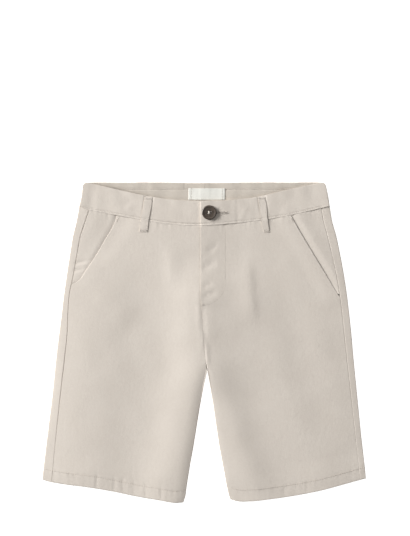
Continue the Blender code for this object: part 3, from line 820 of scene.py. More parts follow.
def pocket_facing(side):
    s = SIDE_OF[side]
    layer = FRONT_LAYER[side]
    top, low = (place(side, layer, 0.0, at)[1] for at in (0.0, 1.0))
    tall = top - MOUTH_END_Y[side] - 4.0
    down = graded((0.0, 0.35), (2.5, 0.6), (8.0, 1.4), (tall, 1.4)) / (top - low)
    seam = across_at(side, layer, down, lambda y: side_seam_x(side, y) - s * SEAM / 2)
    mouth = across_at(side, layer, down, lambda y: curve(MOUTH[side], "x", y) - s * FACING_UNDER)
    share = graded((0.0, 0.012), (0.05, 0.02), (1.0, 0.025))[None, :]
    x, y = place(side, layer, seam[:, None] + (mouth - seam)[:, None] * share, down[:, None])
    z = front_z(side, x, y)
    off = s * (x - curve(MOUTH[side], "x", y))
    open_width = s * (side_seam_x(side, y) - curve(MOUTH[side], "x", y))
    reach = np.clip(open_width - 1.0, 1.5, FACING_RISE[side])
    under = np.clip(1 - off / reach, 0.0, 1.0) ** 2 if side == "right" else 1 - ease(off, -0.5, reach)
    z = z - FACING_DIP * under * (0.4 + 0.6 * ease(y, MOUTH_END_Y[side], MOUTH_END_Y[side] + 38.0))
    z = z - 0.5 * ease(-off, 0.0, 2.5)
    off_seam = s * (side_seam_x(side, y) - x) - SEAM / 2
    z = z + roll_off(off_seam, EDGE_ROLL["front"][side], SEAM_ROLL_R)
    z = z + waist_roll(x, y)
    grid = np.stack([x, y, z], -1)
    return shell("pocket_facing_" + side, grid, FACING_WALL, twill, twill_inside, bulge=0.1)


for side in SIDE_OF:
    piece = pocket_facing(side)
    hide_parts("pocket_facing_" + side)
    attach(piece, "root")

# ------------------------------------------------------------------ back panels
# Two backs of the same twill. Each starts at the side seam, which lies 7 to 14 mm inside
# the outline on the front face, goes round the side fold and along the table to the seat
# seam and the inner leg, and is turned up at the hem with the front.

SEAT_ROLL, SEAT_ROLL_R = 0.55, 1.2  # how far and wide its edge turns up at the seat seam
UNDER_EASE = 14.0  # how far from its folds the underside has its full lift
UNDER_COLUMNS = 72

BACK_CREASES = table(
    "x0 y0 x1 y1 bow near far height",
    (-24.0, -26.0, -74.0, 30.0, 5.0, 9.0, 14.0, 0.55),
    (22.0, -30.0, 64.0, 18.0, -4.0, 8.0, 12.0, 0.5),
    (-60.0, -170.0, -52.0, -60.0, 3.0, 12.0, 18.0, 0.5),
    (118.0, -160.0, 96.0, -40.0, -3.0, 14.0, 11.0, 0.5),
    (-130.0, 120.0, -96.0, 60.0, 4.0, 10.0, 14.0, 0.45),
)


def back_lift(side, x, y):
    """How far the underside is off the table: soft creases, the hem's stitches and the
    rolled edges at the waistband and at the hem's fold."""
    above = above_hem(side, x, y)
    off_row = above - HEM_DEPTH
    uneven = 0.3 * np.maximum(ripple(x, y, seed=8, long=70.0, short=25.0) - 0.3, 0.0)
    gather = np.abs(pucker(x, off_row, seed=14, depth=0.3, pitch=11.0, reach=9.0))
    lift = soft_lines(BACK_CREASES, x, y) + uneven
    lift = lift - groove(off_row, 0.3, STITCH_DIP_R) + gather
    lift = lift - roll_off(curve(BAND_BACK, "seam", x) - SEAM / 2 - y, 0.5, 1.3)
    return lift - roll_off(above, HEM_ROLL, HEM_ROLL_R)


def back_panel(side):
    s = SIDE_OF[side]
    down = PANEL_ROWS[:, None]
    edge, _ = place(side, "front", 0.0, down)
    seam = across_at(side, "front", down, lambda y: side_seam_x(side, y) + s * SEAM / 2)
    seam_x, _ = place(side, "front", seam, down)
    over = np.abs(seam_x - edge)
    inner, inner_y = place(side, "back", 1.0, down)
    width = np.abs(inner - edge)

    # The strip on the front face.
    strip = over + (SIDE_OUT - over) * graded((0.0, 0.05), (0.3, 0.1), (1.0, 0.12))[None, :-1]
    front_width = np.abs(place(side, "front", 1.0, down)[0] - edge)
    x_over, y_over = place(side, "front", strip / front_width, down)
    roll = EDGE_ROLL["back"][side] * (1 - 0.85 * ease(-y_over, 30.0, 155.0))
    z_over = front_z(side, x_over, y_over) + roll_off(over - strip, roll, SEAM_ROLL_R)
    above = above_hem(side, x_over, y_over)
    z_over = z_over + roll_off(above, HEM_ROLL, HEM_ROLL_R) + waist_roll(x_over, y_over)

    # The side fold, its upper half with the front's rows and its lower half with the back's.
    turn = np.radians(np.linspace(90.0, 270.0, 17))
    upper = len(turn) // 2 + 1
    x_fold = edge - s * SIDE_OUT * (1 + np.cos(turn))
    off = np.abs(x_fold - edge)
    _, y_upper = place(side, "front", off[:, :upper] / front_width, down)
    _, y_lower = place(side, "back", off[:, upper:] / width, down)
    y_fold = np.concatenate([y_upper, y_lower], axis=1)
    z_fold = side_height(side, y_fold) / 2 * (1 + np.sin(turn))

    # The underside, and up round the inner leg to the inseam.
    run = np.linspace(0.0, 1.0, UNDER_COLUMNS)[None, 1:] * (width - SIDE_OUT - INNER_OUT) + SIDE_OUT
    leg = leg_share(inner_y)
    below = np.concatenate([run[:, :-1], width - roll_out(leg)], axis=1) / width
    x_below, y_below = place(side, "back", below, down)
    inward = width * (1 - below)
    lifted = ease(width * below, SIDE_OUT, UNDER_EASE) * np.where(inward < INNER_OUT, 1 - leg, 1.0)
    lifted = lifted * ease(inward + 40 * (1 - leg), INNER_OUT, UNDER_EASE)
    z_below = back_lift(side, x_below, y_below) * lifted
    z_below = z_below - roll_off(inward, SEAT_ROLL, SEAT_ROLL_R) * (1 - leg)
    n = len(ROLL)
    z_below[:, -n:] += INNER_R[side] * np.maximum(1 - roll_up(inner_y), 0.0) * leg
    x = np.concatenate([x_over, x_fold, x_below], axis=1)
    y = np.concatenate([y_over, y_fold, y_below], axis=1)
    z = np.concatenate([z_over, z_fold, z_below], axis=1)
    wall = hem_wall(above_hem(side, x, y), WALL)
    return shell("back_" + side, np.stack([x, y, z], -1), wall, twill, twill_inside)


backs = {side: back_panel(side) for side in SIDE_OF}
for side, piece in backs.items():
    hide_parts("back_" + side)
    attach(piece, "root")

# -------------------------------------------------------------------- waistband
# A straight band of two layers of twill and an interlining, in two halves that are joined
# at the centre back. It is folded along its top edge, sewn to the panels and edge
# stitched. The left half laps over the right at the centre front.

BAND_WALL = 1.5
BAND_R = 2.6  # half the height of the side fold
BAND_RIM = 0.05
BAND_OUT = 1.2  # how far the side fold bulges
BAND_TALL = 28.0
BAND_CORNER_X = 140.0  # from where its columns follow the side fold
BAND_SIDE_Y = (192.3, 164.45)  # the top and the low end of that fold
CORNER_R = 5.0  # the rounded corners of its ends
BAND_Z = 4.8
LAP_END_X = 33.0  # end of the right half under the lap
LAP = table(
    "x lift dip",
    (FLY_X, 1.6, 0.1),
    (4.0, 1.45, 0.4),
    (16.0, 1.15, 0.8),
    (30.0, 0.75, 1.15),
    (35.5, 0.6, 1.15),
    (39.0, 0.3, 1.15),
    (60.0, 0.0, 1.15),
)
LOOP_WIDTH = 9.2
FRONT_LOOPS = {
    "right": dict(top=(-67.3, 175.0), low=(-73.5, 133.0), wide=(9.5, 9.9)),
    "left": dict(top=(67.9, 175.2), low=(74.1, 132.6), wide=(8.9, 7.6)),
}
LOOP_PRESS = 0.45  # how far a front loop presses into the band
BACK_LOOPS = {"right": -76.0, "centre": 0.0, "left": 76.0}
FLAT_LOOP = 0.75  # height that a back loop takes up under the waistband
BUTTON_XY = (5.4, 156.4)
HOLE_START_X, HOLE_END_X = 6.0, 27.0
HOLE_DOWN = 14.0  # the buttonhole's row of points, below the top edge
BAND_STITCH = 2.3  # edge stitching above its lower edge
INNER_LINE = 8.6  # the stitched line inside, below the top edge
INNER_JOIN_X = -23.7  # a seam inside, above that line

BAND_CREASES = table(
    "x0 y0 x1 y1 bow near far height",
    (15.0, 157.4, 24.0, 160.6, 0.3, 0.8, 1.0, -0.3),
    (15.0, 155.2, 25.0, 151.6, -0.3, 0.8, 1.1, -0.3),
    (15.5, 158.4, 20.0, 163.0, 0.2, 0.8, 1.0, -0.25),
    (15.5, 154.2, 20.5, 149.4, -0.2, 0.8, 1.1, -0.25),
    (44.0, 146.0, 52.0, 166.0, 0.8, 2.4, 3.0, 0.12),
    (88.0, 156.0, 104.0, 176.0, 1.0, 5.0, 7.0, -0.15),
    (-100.0, 160.0, -86.0, 172.0, 1.0, 4.0, 6.0, -0.25),
)


def loop_raise(x):
    """The back waistband rises over the belt loops that it lies on."""
    rise = np.zeros_like(x)
    for middle in BACK_LOOPS.values():
        off = np.abs(x - middle) - LOOP_WIDTH / 2
        rise = np.maximum(rise, 1 - ease(off, SEAM, 3.6))
    return rise


def at_down(start, end, down):
    """A size part of the way down a belt loop, from 0 to 1."""
    return start + (end - start) * down


def loop_press(side, x, y):
    """How far the front waistband is pressed in under its belt loop."""
    ends = FRONT_LOOPS[side]
    down = (ends["top"][1] - y) / (ends["top"][1] - ends["low"][1])
    half = at_down(*ends["wide"], down) / 2
    off = x - ends["top"][0] - (ends["low"][0] - ends["top"][0]) * down
    under = ease(off, -half - 0.9, -half + 0.3) * (1 - ease(off, half - 0.5, half + 2.0))
    return -LOOP_PRESS * under * (1 - 0.6 * ease(down, 0.2, 0.6))


def band_z(side, x, y):
    """Height of the front waistband's outer face. The left half laps over the right."""
    lap = line(LAP, "lift", x) if side == "left" else -line(LAP, "dip", x)
    uneven = 0.16 * ripple(x, y, seed=21, long=40.0, short=14.0)
    z = BAND_Z + lap + loop_press(side, x, y) + uneven
    seam_y = curve(BAND_FRONT, "seam", x) + SEAM / 2
    gather = pucker(x, y - seam_y, seed=22, depth=0.1, pitch=7.0, reach=4.5)
    z = z + groove(y - seam_y - BAND_STITCH, 0.45 - 0.2 * ease(x, 0.0, 20.0), 0.5) + gather
    z = z + soft_lines(BAND_CREASES[BAND_CREASES["x0"] * SIDE_OF[side] > 0], x, y)
    if side == "left":
        slot_end = 1 - ease(x, HOLE_END_X - 1.0, HOLE_END_X + 0.5)
        slot = ease(x, HOLE_START_X, HOLE_START_X + 1.5) * slot_end
        z = z + groove(y - BUTTON_XY[1], 0.5, 0.4) * slot
    return z


INNER_DIP = table(
    "x depth",
    (-150.0, 0.3),
    (-136.0, 0.6),
    (-105.0, 1.0),
    (-76.0, 0.5),
    (-40.0, 0.25),
    (0.0, 0.1),
    (60.0, 0.1),
    (84.0, 0.22),
    (110.0, 0.08),
    (150.0, 0.05),
)


def inner_face(x, y):
    """Height of the back waistband's inner face, which dips where the front one lies on it."""
    off = y - curve(BAND_FRONT, "top", x)
    lean = 0.7 - 0.4 * ease(x, -80.0, -35.0)
    dip = lean * (0.5 - ease(off, 0.0, 6.0)) + curve(INNER_DIP, "depth", x) * (1 - ease(off, -0.6, 2.2))
    return BAND_WALL + 0.2 + 0.2 * ripple(x, y, seed=23, long=40.0, short=16.0) - dip


BAND_ROWS = graded(
    (0.0, 0.3),
    (1.8, 0.45),
    (4.0, 1.1),
    (HOLE_DOWN - 3.0, 1.0),
    (HOLE_DOWN - 1.0, 0.3),
    (HOLE_DOWN + 1.0, 0.3),
    (HOLE_DOWN + 3.0, 1.0),
    (BAND_TALL - 4.0, 0.8),
    (BAND_TALL - 1.8, 0.4),
    (BAND_TALL, 0.3),
) / BAND_TALL


def waistband(side):
    """From the free end along the front, round the side fold and along the back to the
    centre back."""
    s = SIDE_OF[side]
    share = BAND_ROWS[:, None]
    near_fold = (132.0, 1.3), (BAND_CORNER_X, 0.9)
    if side == "left":
        start = FLY_X
        front = graded((start, 0.3), (start + 2.0, 0.5), (6.0, 0.9), (30.0, 0.9), *near_fold)
    else:
        start = LAP_END_X
        front = -graded((-start, 0.3), (-start + 2.0, 0.6), (-20.0, 1.2), *near_fold)
    edge = edge_x(side, BAND_SIDE_Y[0] * (1 - share) + BAND_SIDE_Y[1] * share)
    to_edge = np.array([[0.8, 0.6, 0.42, 0.28, 0.16, 0.07]])
    x_corner = edge - s * BAND_OUT + (s * BAND_CORNER_X - edge + s * BAND_OUT) * to_edge
    turn = np.radians(np.linspace(90.0, 270.0, 19))
    x_fold = edge - s * BAND_OUT * (1 + np.cos(turn))
    x_front = np.concatenate([front + 0 * share, x_corner], axis=1)
    back = graded((BAND_RIM, 0.4), (2.0, 0.8), (8.0, 1.4), (132.0, 1.6), (BAND_CORNER_X, 0.9))
    x_back = np.concatenate([x_corner[:, ::-1], s * back[::-1] + 0 * share], axis=1)

    def rows_at(x, band):
        in_corner = np.clip(CORNER_R - s * (edge - x), 0.0, CORNER_R)
        top = curve(band, "top", x) - CORNER_R + np.sqrt(CORNER_R**2 - in_corner**2)
        return top * (1 - share) + (curve(band, "seam", x) + SEAM / 2) * share

    y_front = rows_at(x_front, BAND_FRONT)
    z_front = band_z(side, x_front, y_front)
    out = s * (edge_x(side, y_front) - x_front)
    z_front = z_front + (2 * BAND_R - z_front) * (1 - ease(out, BAND_OUT, 18.0))
    z_front = z_front + roll_off(s * (x_front - start), 0.14, 0.9)
    z_fold = BAND_R * (1 + np.sin(turn)) + 0 * share
    y_fold = np.where(turn > math.pi, rows_at(x_fold, BAND_BACK), rows_at(x_fold, BAND_FRONT))
    y_back = rows_at(x_back, BAND_BACK)
    z_back = (FLAT_LOOP + 0.2) * loop_raise(x_back) - roll_off(np.abs(x_back) - BAND_RIM, 0.04, 1.2)
    low_y = curve(BAND_BACK, "seam", x_back) + SEAM / 2
    z_back = z_back - groove(y_back - low_y - BAND_STITCH, 0.2, 0.7)
    x = np.concatenate([x_front, x_fold, x_back], axis=1)
    y = np.concatenate([y_front, y_fold, y_back], axis=1)
    z = np.concatenate([z_front, z_fold, z_back], axis=1)

    # The fold along the top and the turned-in lower edge close towards the wall's middle.
    from_top, from_low = share * BAND_TALL, (1 - share) * BAND_TALL
    top_roll = np.concatenate([0.1 + 0 * x_front, 0.3 + 0 * x_fold, 0.3 + 0 * x_back], axis=1)
    over_hips = ease(np.abs(x), 50.0, 80.0) * (1 - ease(np.abs(x), 112.0, BAND_CORNER_X))
    low_roll = 0.08 + 0.1 * over_hips
    closing = top_roll * roll_off(from_top, 1.0, 1.2) + low_roll * roll_off(from_low, 1.0, 1.0)
    upper = np.concatenate([0 * x_front + 1, np.sin(turn) + 0 * share, 0 * x_back - 1], axis=1)
    z = z + closing * upper

    # The wall is thinner at the free end, and carries the inner face's form on the back.
    inside = np.concatenate([0 * x_front, 0 * x_fold, 0 * x_back + 1], axis=1)
    free_end = (1 - inside) * (1 - ease(s * (x - start), 0.5, 3.0))
    wall = BAND_WALL * (1 - 0.35 * free_end) + inside * (inner_face(x, y) - BAND_WALL)
    top_y = curve(BAND_BACK, "top", x)
    join = groove(x - INNER_JOIN_X, 0.3, 0.6) * (y > top_y - INNER_LINE)
    wall = wall + inside * (groove(top_y - y - INNER_LINE, 0.35, 0.8) + join)
    wall = wall + 2.0 * roll_off(from_top, 0.2 * BAND_WALL, 1.5)
    wall = wall - (FLAT_LOOP + 0.1) * loop_raise(x) * inside
    grid = np.stack([x, y, z], -1)
    return shell("waistband_" + side, grid, wall, twill, twill_inside, bulge=BAND_RIM)


waistbands = {side: waistband(side) for side in SIDE_OF}
for side, piece in waistbands.items():
    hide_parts("waistband_" + side)
    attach(piece, "root")

# ------------------------------------------------------------------- belt loops
# Narrow straps of folded twill, edge stitched on both sides. The two front ones stand off
# the waistband between their bartacked ends, and the three on the back lie flat below it.

LOOP_WALL = 0.5
LOOP_GAP = 0.15
LOOP_LONG = {"front": 42.0, "back": 29.0}
BACK_LOOP_TOP_Y = 191.4
LOOP_STITCH = 0.72  # where its edge stitching runs, with 0 at its middle and 1 at its edge


def front_loop(side):
    """A strap with a shallow groove along each stitched edge, bowed up between its ends."""
    ends = FRONT_LOOPS[side]
    long = LOOP_LONG["front"]
    stops = (0.0, 0.3), (2.0, 0.5), (5.0, 1.0), (long - 5.0, 1.0), (long - 2.0, 0.5), (long, 0.3)
    down = graded(*stops)[:, None] / long
    across = np.linspace(-1.0, 1.0, 25)[None, :]
    wide = at_down(*ends["wide"], down)
    x = at_down(ends["top"][0], ends["low"][0], down) + across * wide / 2
    x = x + 0.35 * np.sin(down * 7.0) * ease(down, 0.0, 0.3)
    y = at_down(ends["top"][1], ends["low"][1], down) + 0 * across
    on_panel = front_z(side, x, y)
    seam_y = curve(BAND_FRONT, "seam", x)
    z = on_panel + (band_z(side, x, y) - on_panel) * ease(y, seam_y - 6.0, seam_y - 1.0)
    bow = 0.2 * np.sin(np.pi * np.clip((down - 0.04) / 0.84, 0.0, 1.0)) ** 0.8
    held = [0.3 * np.exp(-(((down - at) * long / 1.2) ** 2)) for at in (0.05, 0.95)]
    z = z + LOOP_GAP + LOOP_WALL + bow - sum(held)
    z = z + roll_off(down * long, 0.4, 1.0) + roll_off((1 - down) * long, 0.4, 1.0)
    off_left, off_right = (across + 1) * LOOP_WIDTH / 2, (1 - across) * LOOP_WIDTH / 2
    z = z + groove(np.abs(across) - LOOP_STITCH, 0.04, 0.1)
    z = z + roll_off(off_left, 0.02, 0.5) + roll_off(off_right, 0.2, 0.8) + roll_off(off_left, 0.03, 0.6)
    return shell("belt_loop_front_" + side, np.stack([x, y, z], -1), LOOP_WALL, twill, bulge=0.02)


def back_loop(name):
    """A flat strap whose lower face has turned-up edges. Its upper face is level."""
    long = LOOP_LONG["back"]
    down = graded((0.0, 0.3), (2.0, 0.6), (long - 2.0, 0.9), (long, 0.3))[:, None] / long
    across = np.linspace(1.0, -1.0, 21)[None, ::-1]
    x = BACK_LOOPS[name] + across * LOOP_WIDTH / 2 + 0 * down
    y = BACK_LOOP_TOP_Y - long * down + 0 * across
    roll = roll_off((1 - np.abs(across)) * LOOP_WIDTH / 2, 0.3, 0.8)
    roll = roll + roll_off(down * long, 0.3, 0.8) + roll_off((1 - down) * long, 0.3, 0.8)
    top = FLAT_LOOP - 0.05
    grid = np.stack([x, y, top + 0 * x], -1)
    return shell("belt_loop_back_" + name, grid, np.maximum(top + roll, 0.3), twill, bulge=0.2)


belt_loops = {"front_" + side: front_loop(side) for side in SIDE_OF}
belt_loops.update({"back_" + name: back_loop(name) for name in BACK_LOOPS})
for name, piece in belt_loops.items():
    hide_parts("belt_loop_" + name)
    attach(piece, "root")

# ------------------------------------------------------------------------ label
# A bare strip of woven off-white tape with its two ends turned under, sewn at both ends
# to the inside of the back waistband.

LABEL_X, LABEL_Y = (-19.4, 24.2), (171.9, 185.4)
LABEL_FOLD = 5.5
LABEL_WALL = 0.35
LABEL_STITCH = 3.4  # where it is sewn, from each end

tape, tree, shader = material("label_tape")
uv = put(tree, "ShaderNodeUVMap", {"uv_map": "cloth"}).outputs[0]
satin = use_group(tree, TWILL, Vector=uv, Pitch=0.00028, Slant=math.radians(90.0))
face = use_group(tree, BRUSHED, Vector=uv, Patches=160.0, Flecks=900.0)
tone = math_node(tree, "MULTIPLY", face.outputs["Patch"], 0.4)
tone = math_node(tree, "MULTIPLY_ADD", satin.outputs["Tone"], 0.6, tone)
connect(
    tree,
    shader,
    Base_Color=mix(tree, tone, (0.72, 0.71, 0.65), (0.84, 0.83, 0.775)),
    Roughness=math_node(tree, "MULTIPLY_ADD", face.outputs["Fleck"], 0.2, 0.5),
    Sheen_Weight=0.1,
    Normal=bump(tree, satin.outputs["Height"], strength=0.4, distance=0.00006),
)

width, tall = LABEL_X[1] - LABEL_X[0], LABEL_Y[1] - LABEL_Y[0]
x = LABEL_X[0] + graded(
    (0.0, 0.3),
    (1.5, 0.5),
    (LABEL_FOLD, 0.4),
    (width - LABEL_FOLD, 0.8),
    (width - 1.5, 0.4),
    (width, 0.3),
)
y = LABEL_Y[1] - graded((0.0, 0.3), (1.2, 0.6), (tall - 1.2, 0.6), (tall, 0.3))[:, None]
off_end = np.minimum(x - LABEL_X[0], LABEL_X[1] - x)
rest = inner_face(x + 0 * y, y + 0 * x) + 0.1 * loop_raise(x)
folded = 1 - ease(off_end, LABEL_FOLD - 0.8, LABEL_FOLD + 1.2)
waves = np.sin((x - LABEL_X[0]) / width * math.pi * 1.5 + 0.6)
z = rest + 0.4 + 0.05 * folded + groove(x - LABEL_X[0] - LABEL_STITCH, 0.12, 0.5)
z = z + 0.3 * waves * ease(off_end, 2.0, 10.0) * (LABEL_Y[1] - y) / tall
z = z + roll_off(off_end, 0.15, 0.5)
grid = np.stack([x + 0 * y, y + 0 * x, z + 0 * y], -1)
label = shell("label", grid, LABEL_WALL, tape, bulge=0.12)
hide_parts("label")
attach(label, "root")

# ----------------------------------------------------------------- waist button
# A four-hole trouser button of dark brown horn-look plastic, turned with a raised rim and
# a dished middle, and sewn on through the lap with a crossed thread.

BUTTON_R = 8.9
DISH_R = 4.4  # where the dish gets level
DISH_UP = 1.7  # its bottom above the button's base
BUTTON_BASE_Z = BAND_Z + 1.65
HOLE_R, HOLE_OUT = 0.9, 1.95  # radius of a hole, and how far out its middle lies
BORES = (  # a hole and its flared mouth: low and high radius, length, and middle above the base
    (HOLE_R, HOLE_R, 8.0, 1.0),
    (HOLE_R * 0.6, HOLE_R * 1.9, 1.2, 1.65),
)


def chamfered(points, times):
    """An outline with its corners cut off again and again, which rounds them."""
    points = np.array(points, float)
    for _ in range(times):
        a, b = points[:-1], points[1:]
        cut = np.stack([a * 0.75 + b * 0.25, a * 0.25 + b * 0.75], 1).reshape(-1, 2)
        points = np.concatenate([points[:1], cut, points[-1:]])
    return points


def to_world(point):
    return Vector((np.array(point) - ORIGIN) * MM)


profile = chamfered(
    [
        (0.0, 0.0),
        (6.4, 0.0),
        (8.6, 0.4),
        (BUTTON_R, 1.2),
        (8.5, 2.2),
        (7.7, 2.4),
        (7.0, 2.2),
        (6.2, 1.85),
        (DISH_R, 1.72),
        (0.0, DISH_UP),
    ],
    times=2,
)
bm = bmesh.new()
path = [bm.verts.new((r * MM, 0.0, z * MM)) for r, z in profile]
edges = [bm.edges.new(pair) for pair in zip(path, path[1:])]
bmesh.ops.spin(bm, geom=path + edges, angle=math.tau, steps=72, axis=(0, 0, 1), cent=(0, 0, 0))
bmesh.ops.remove_doubles(bm, verts=bm.verts, dist=0.000005)
bmesh.ops.recalc_face_normals(bm, faces=bm.faces)
bmesh.ops.translate(bm, verts=bm.verts, vec=to_world((*BUTTON_XY, BUTTON_BASE_Z)))
mesh = bpy.data.meshes.new("button")
bm.to_mesh(mesh)
bm.free()
button = new_object("button_turned", mesh)
HOLES = [
    (BUTTON_XY[0] + HOLE_OUT * math.cos(turn), BUTTON_XY[1] + HOLE_OUT * math.sin(turn))
    for turn in np.radians((35.0, 125.0, 215.0, 305.0))
]
drills = bmesh.new()
for x, y in HOLES:
    for low_r, high_r, long, up in BORES:
        sizes = dict(radius1=low_r * MM, radius2=high_r * MM, depth=long * MM)
        bore = bmesh.ops.create_cone(drills, segments=24, cap_ends=True, **sizes)
        bmesh.ops.translate(drills, verts=bore["verts"], vec=to_world((x, y, BUTTON_BASE_Z + up)))
mesh = bpy.data.meshes.new("drills")
drills.to_mesh(mesh)
drills.free()
cutter = new_object("drills", mesh)
cut = button.modifiers.new("Holes", "BOOLEAN")
cut.operation = "DIFFERENCE"
cut.solver = "EXACT"
cut.use_self = True
cut.object = cutter
mesh = bpy.data.meshes.new_from_object(button.evaluated_get(bpy.context.evaluated_depsgraph_get()))
mesh.name = "button"
button.modifiers.clear()
button.data = mesh
bpy.data.objects.remove(cutter)
mesh.shade_smooth()
mesh.set_sharp_from_angle(angle=math.radians(RIM_SHARP))

horn, tree, shader = material("button_plastic")
coords = put(tree, "ShaderNodeTexCoord").outputs["Object"]
streaks = put(
    tree,
    "ShaderNodeMapping",
    Vector=coords,
    Scale=(160.0, 520.0, 160.0),
    Rotation=(0.0, 0.0, 0.5),
).outputs[0]
grain = put(tree, "ShaderNodeTexNoise", Vector=streaks, Scale=1.0, Detail=4.0, Distortion=0.8)
cloud = ramp(tree, grain.outputs[0], 0.3, 0.75)
scuffs = put(tree, "ShaderNodeTexNoise", Vector=coords, Scale=2400.0, Detail=2.0)
connect(
    tree,
    shader,
    Base_Color=mix(tree, cloud, (0.04, 0.029, 0.021), (0.097, 0.074, 0.058)),
    Roughness=math_node(tree, "MULTIPLY_ADD", grain.outputs[0], 0.16, 0.24),
    Coat_Weight=0.35,
    Coat_Roughness=0.18,
    Normal=bump(tree, scuffs.outputs[0], strength=0.12, distance=0.00005),
)
mesh.materials.clear()
mesh.materials.append(horn)
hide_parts("button")
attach(button, "root")

# ----------------------------------------------------------------------- sewing
# All that holds the pieces together and shows: lockstitch rows along the hems, the fly and
# the edges of the waistband and loops, bartacks where a seam is pulled on, the overcast
# buttonhole, and the crossed thread of the button, in polyester thread a little darker than
# the cloth: partly the thread's own colour and partly painted shade of the stitched grooves.

THREAD_R = 0.2
TACK_R = 0.17
STITCH, STITCH_GAP = 2.3, 0.45
TACK_PITCH = 0.34
ACROSS = math.pi / 2  # the turn of stitches that lie across their row
WOBBLE = 0.07  # radians, how unevenly stitches lie
PATH_STEP = 1.2


def sew_tree():
    """Stitches along every edge of a mesh: long beads of thread, one for each pitch,
    turned to lie along the row or across it."""
    tree = bpy.data.node_groups.new("Sewn Stitches", "GeometryNodeTree")
    sockets = {}
    for label, kind in (
        ("Geometry", "NodeSocketGeometry"),
        ("Length", "NodeSocketFloat"),
        ("Pitch", "NodeSocketFloat"),
        ("Thread Radius", "NodeSocketFloat"),
        ("Turn", "NodeSocketFloat"),
        ("Thread", "NodeSocketMaterial"),
    ):
        sockets[label] = tree.interface.new_socket(label, in_out="INPUT", socket_type=kind).identifier
    tree.interface.new_socket("Geometry", in_out="OUTPUT", socket_type="NodeSocketGeometry")
    given = tree.nodes.new("NodeGroupInput").outputs
    out = tree.nodes.new("NodeGroupOutput")

    def add(kind, settings=None, **inputs):
        return put(tree, kind, settings, **inputs).outputs[0]

    # Points along the rows, and the way that each stitch lies.
    rows = add("GeometryNodeMeshToCurve", Mesh=given["Geometry"])
    spaced = add("GeometryNodeResampleCurve", {"mode": "LENGTH"}, Curve=rows, Length=given["Pitch"])
    tangent = add("GeometryNodeInputTangent")
    along = add("FunctionNodeAlignRotationToVector", {"axis": "Z"}, Vector=tangent)
    upright = {"axis": "Y", "pivot_axis": "Z"}
    level = add("FunctionNodeAlignRotationToVector", upright, Rotation=along, Vector=(0.0, 0.0, 1.0))
    wobble = put(tree, "FunctionNodeRandomValue", {"data_type": "FLOAT"}, Seed=4)
    low, high = [i for i in wobble.inputs if i.type == "VALUE"][:2]
    low.default_value, high.default_value = -WOBBLE, WOBBLE
    uneven = next(o for o in wobble.outputs if o.type == "VALUE")
    swing = add("ShaderNodeCombineXYZ", Y=math_node(tree, "ADD", given["Turn"], uneven))
    swing = add("FunctionNodeEulerToRotation", Euler=swing)
    local = {"rotation_space": "LOCAL"}
    turned = add("FunctionNodeRotateRotation", local, Rotation=level, Rotate_By=swing)

    # A bead of thread in the stitch's size on each point.
    bead = add("GeometryNodeMeshUVSphere", Segments=8, Rings=7, Radius=1.0)
    half = math_node(tree, "MULTIPLY", given["Length"], 0.5)
    size = add("ShaderNodeCombineXYZ", X=given["Thread Radius"], Y=given["Thread Radius"], Z=half)
    sized = add("GeometryNodeTransform", Geometry=bead, Scale=size)
    sown = add("GeometryNodeInstanceOnPoints", Points=spaced, Instance=sized, Rotation=turned)
    real = add("GeometryNodeRealizeInstances", Geometry=sown)
    smooth = add("GeometryNodeSetShadeSmooth", Geometry=real)
    painted = add("GeometryNodeSetMaterial", Geometry=smooth, Material=given["Thread"])
    connect(tree, out, Geometry=painted)
    return tree, sockets


SEW_TREE, SEW_SOCKETS = sew_tree()

# The thread's colours are a little darker than the cloth's: on top of the thread's own colour, painted shade
# that stands in for the shade in the grooves along the stitch rows.
thread, tree, shader = material("sewing_thread")
coords = put(tree, "ShaderNodeTexCoord").outputs["Object"]
plies = put(tree, "ShaderNodeTexNoise", Vector=coords, Scale=2600.0, Detail=2.0)
connect(
    tree,
    shader,
    Base_Color=mix(tree, plies.outputs[0], (0.53, 0.475, 0.415), (0.66, 0.605, 0.545)),
    Roughness=math_node(tree, "MULTIPLY_ADD", plies.outputs[0], 0.2, 0.45),
    Sheen_Weight=0.2,
    Normal=bump(tree, plies.outputs[0], strength=0.4, distance=0.00006),
)


def laid_on(pieces, path, below=False, sink=0.0, highest=99.0):
    """Points along a path, dropped onto the pieces from above, or raised from below, and
    kept above the table. A point that would land higher than the highest is left out."""
    path = np.array(path, float)
    lengths = np.linalg.norm(np.diff(path, axis=0), axis=1)
    steps = np.maximum(1, np.ceil(lengths / PATH_STEP)).astype(int)
    fine = [path[0]]
    for a, b, n in zip(path, path[1:], steps):
        fine += [a + (b - a) * (k + 1) / n for k in range(n)]
    points = []
    for x, y in fine:
        hits = []
        for piece in pieces:
            start = to_world((x, y, -40.0 if below else 60.0))
            found, spot, normal, _ = piece.ray_cast(start, Vector((0, 0, 1 if below else -1)))
            if found:
                over = spot + normal * (THREAD_R - sink) * MM
                over.z = max(over.z, 0.9 * THREAD_R * MM)
                hits.append((spot.z, over))
        hits.sort(key=lambda hit: hit[0], reverse=not below)
        if hits and hits[0][0] < highest * MM:
            points.append(hits[0][1])
    return points


def sew(name, rows, length, pitch, thread_r, turn=0.0):
    """One mesh of all the stitches of some rows of points."""
    points, edges = [], []
    for row in rows:
        edges += [(len(points) + k, len(points) + k + 1) for k in range(len(row) - 1)]
        points += [tuple(p) for p in row]
    mesh = bpy.data.meshes.new(name)
    mesh.from_pydata(points, edges, [])
    obj = new_object(name, mesh)
    stitches = obj.modifiers.new("Stitches", "NODES")
    stitches.node_group = SEW_TREE
    sizes = {"Length": length * MM, "Pitch": pitch * MM, "Thread Radius": thread_r * MM}
    for label, value in {**sizes, "Turn": turn, "Thread": thread}.items():
        stitches[SEW_SOCKETS[label]] = value
    made = bpy.data.meshes.new_from_object(obj.evaluated_get(bpy.context.evaluated_depsgraph_get()))
    obj.modifiers.clear()
    obj.data = made
    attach(obj, "root")
    return obj


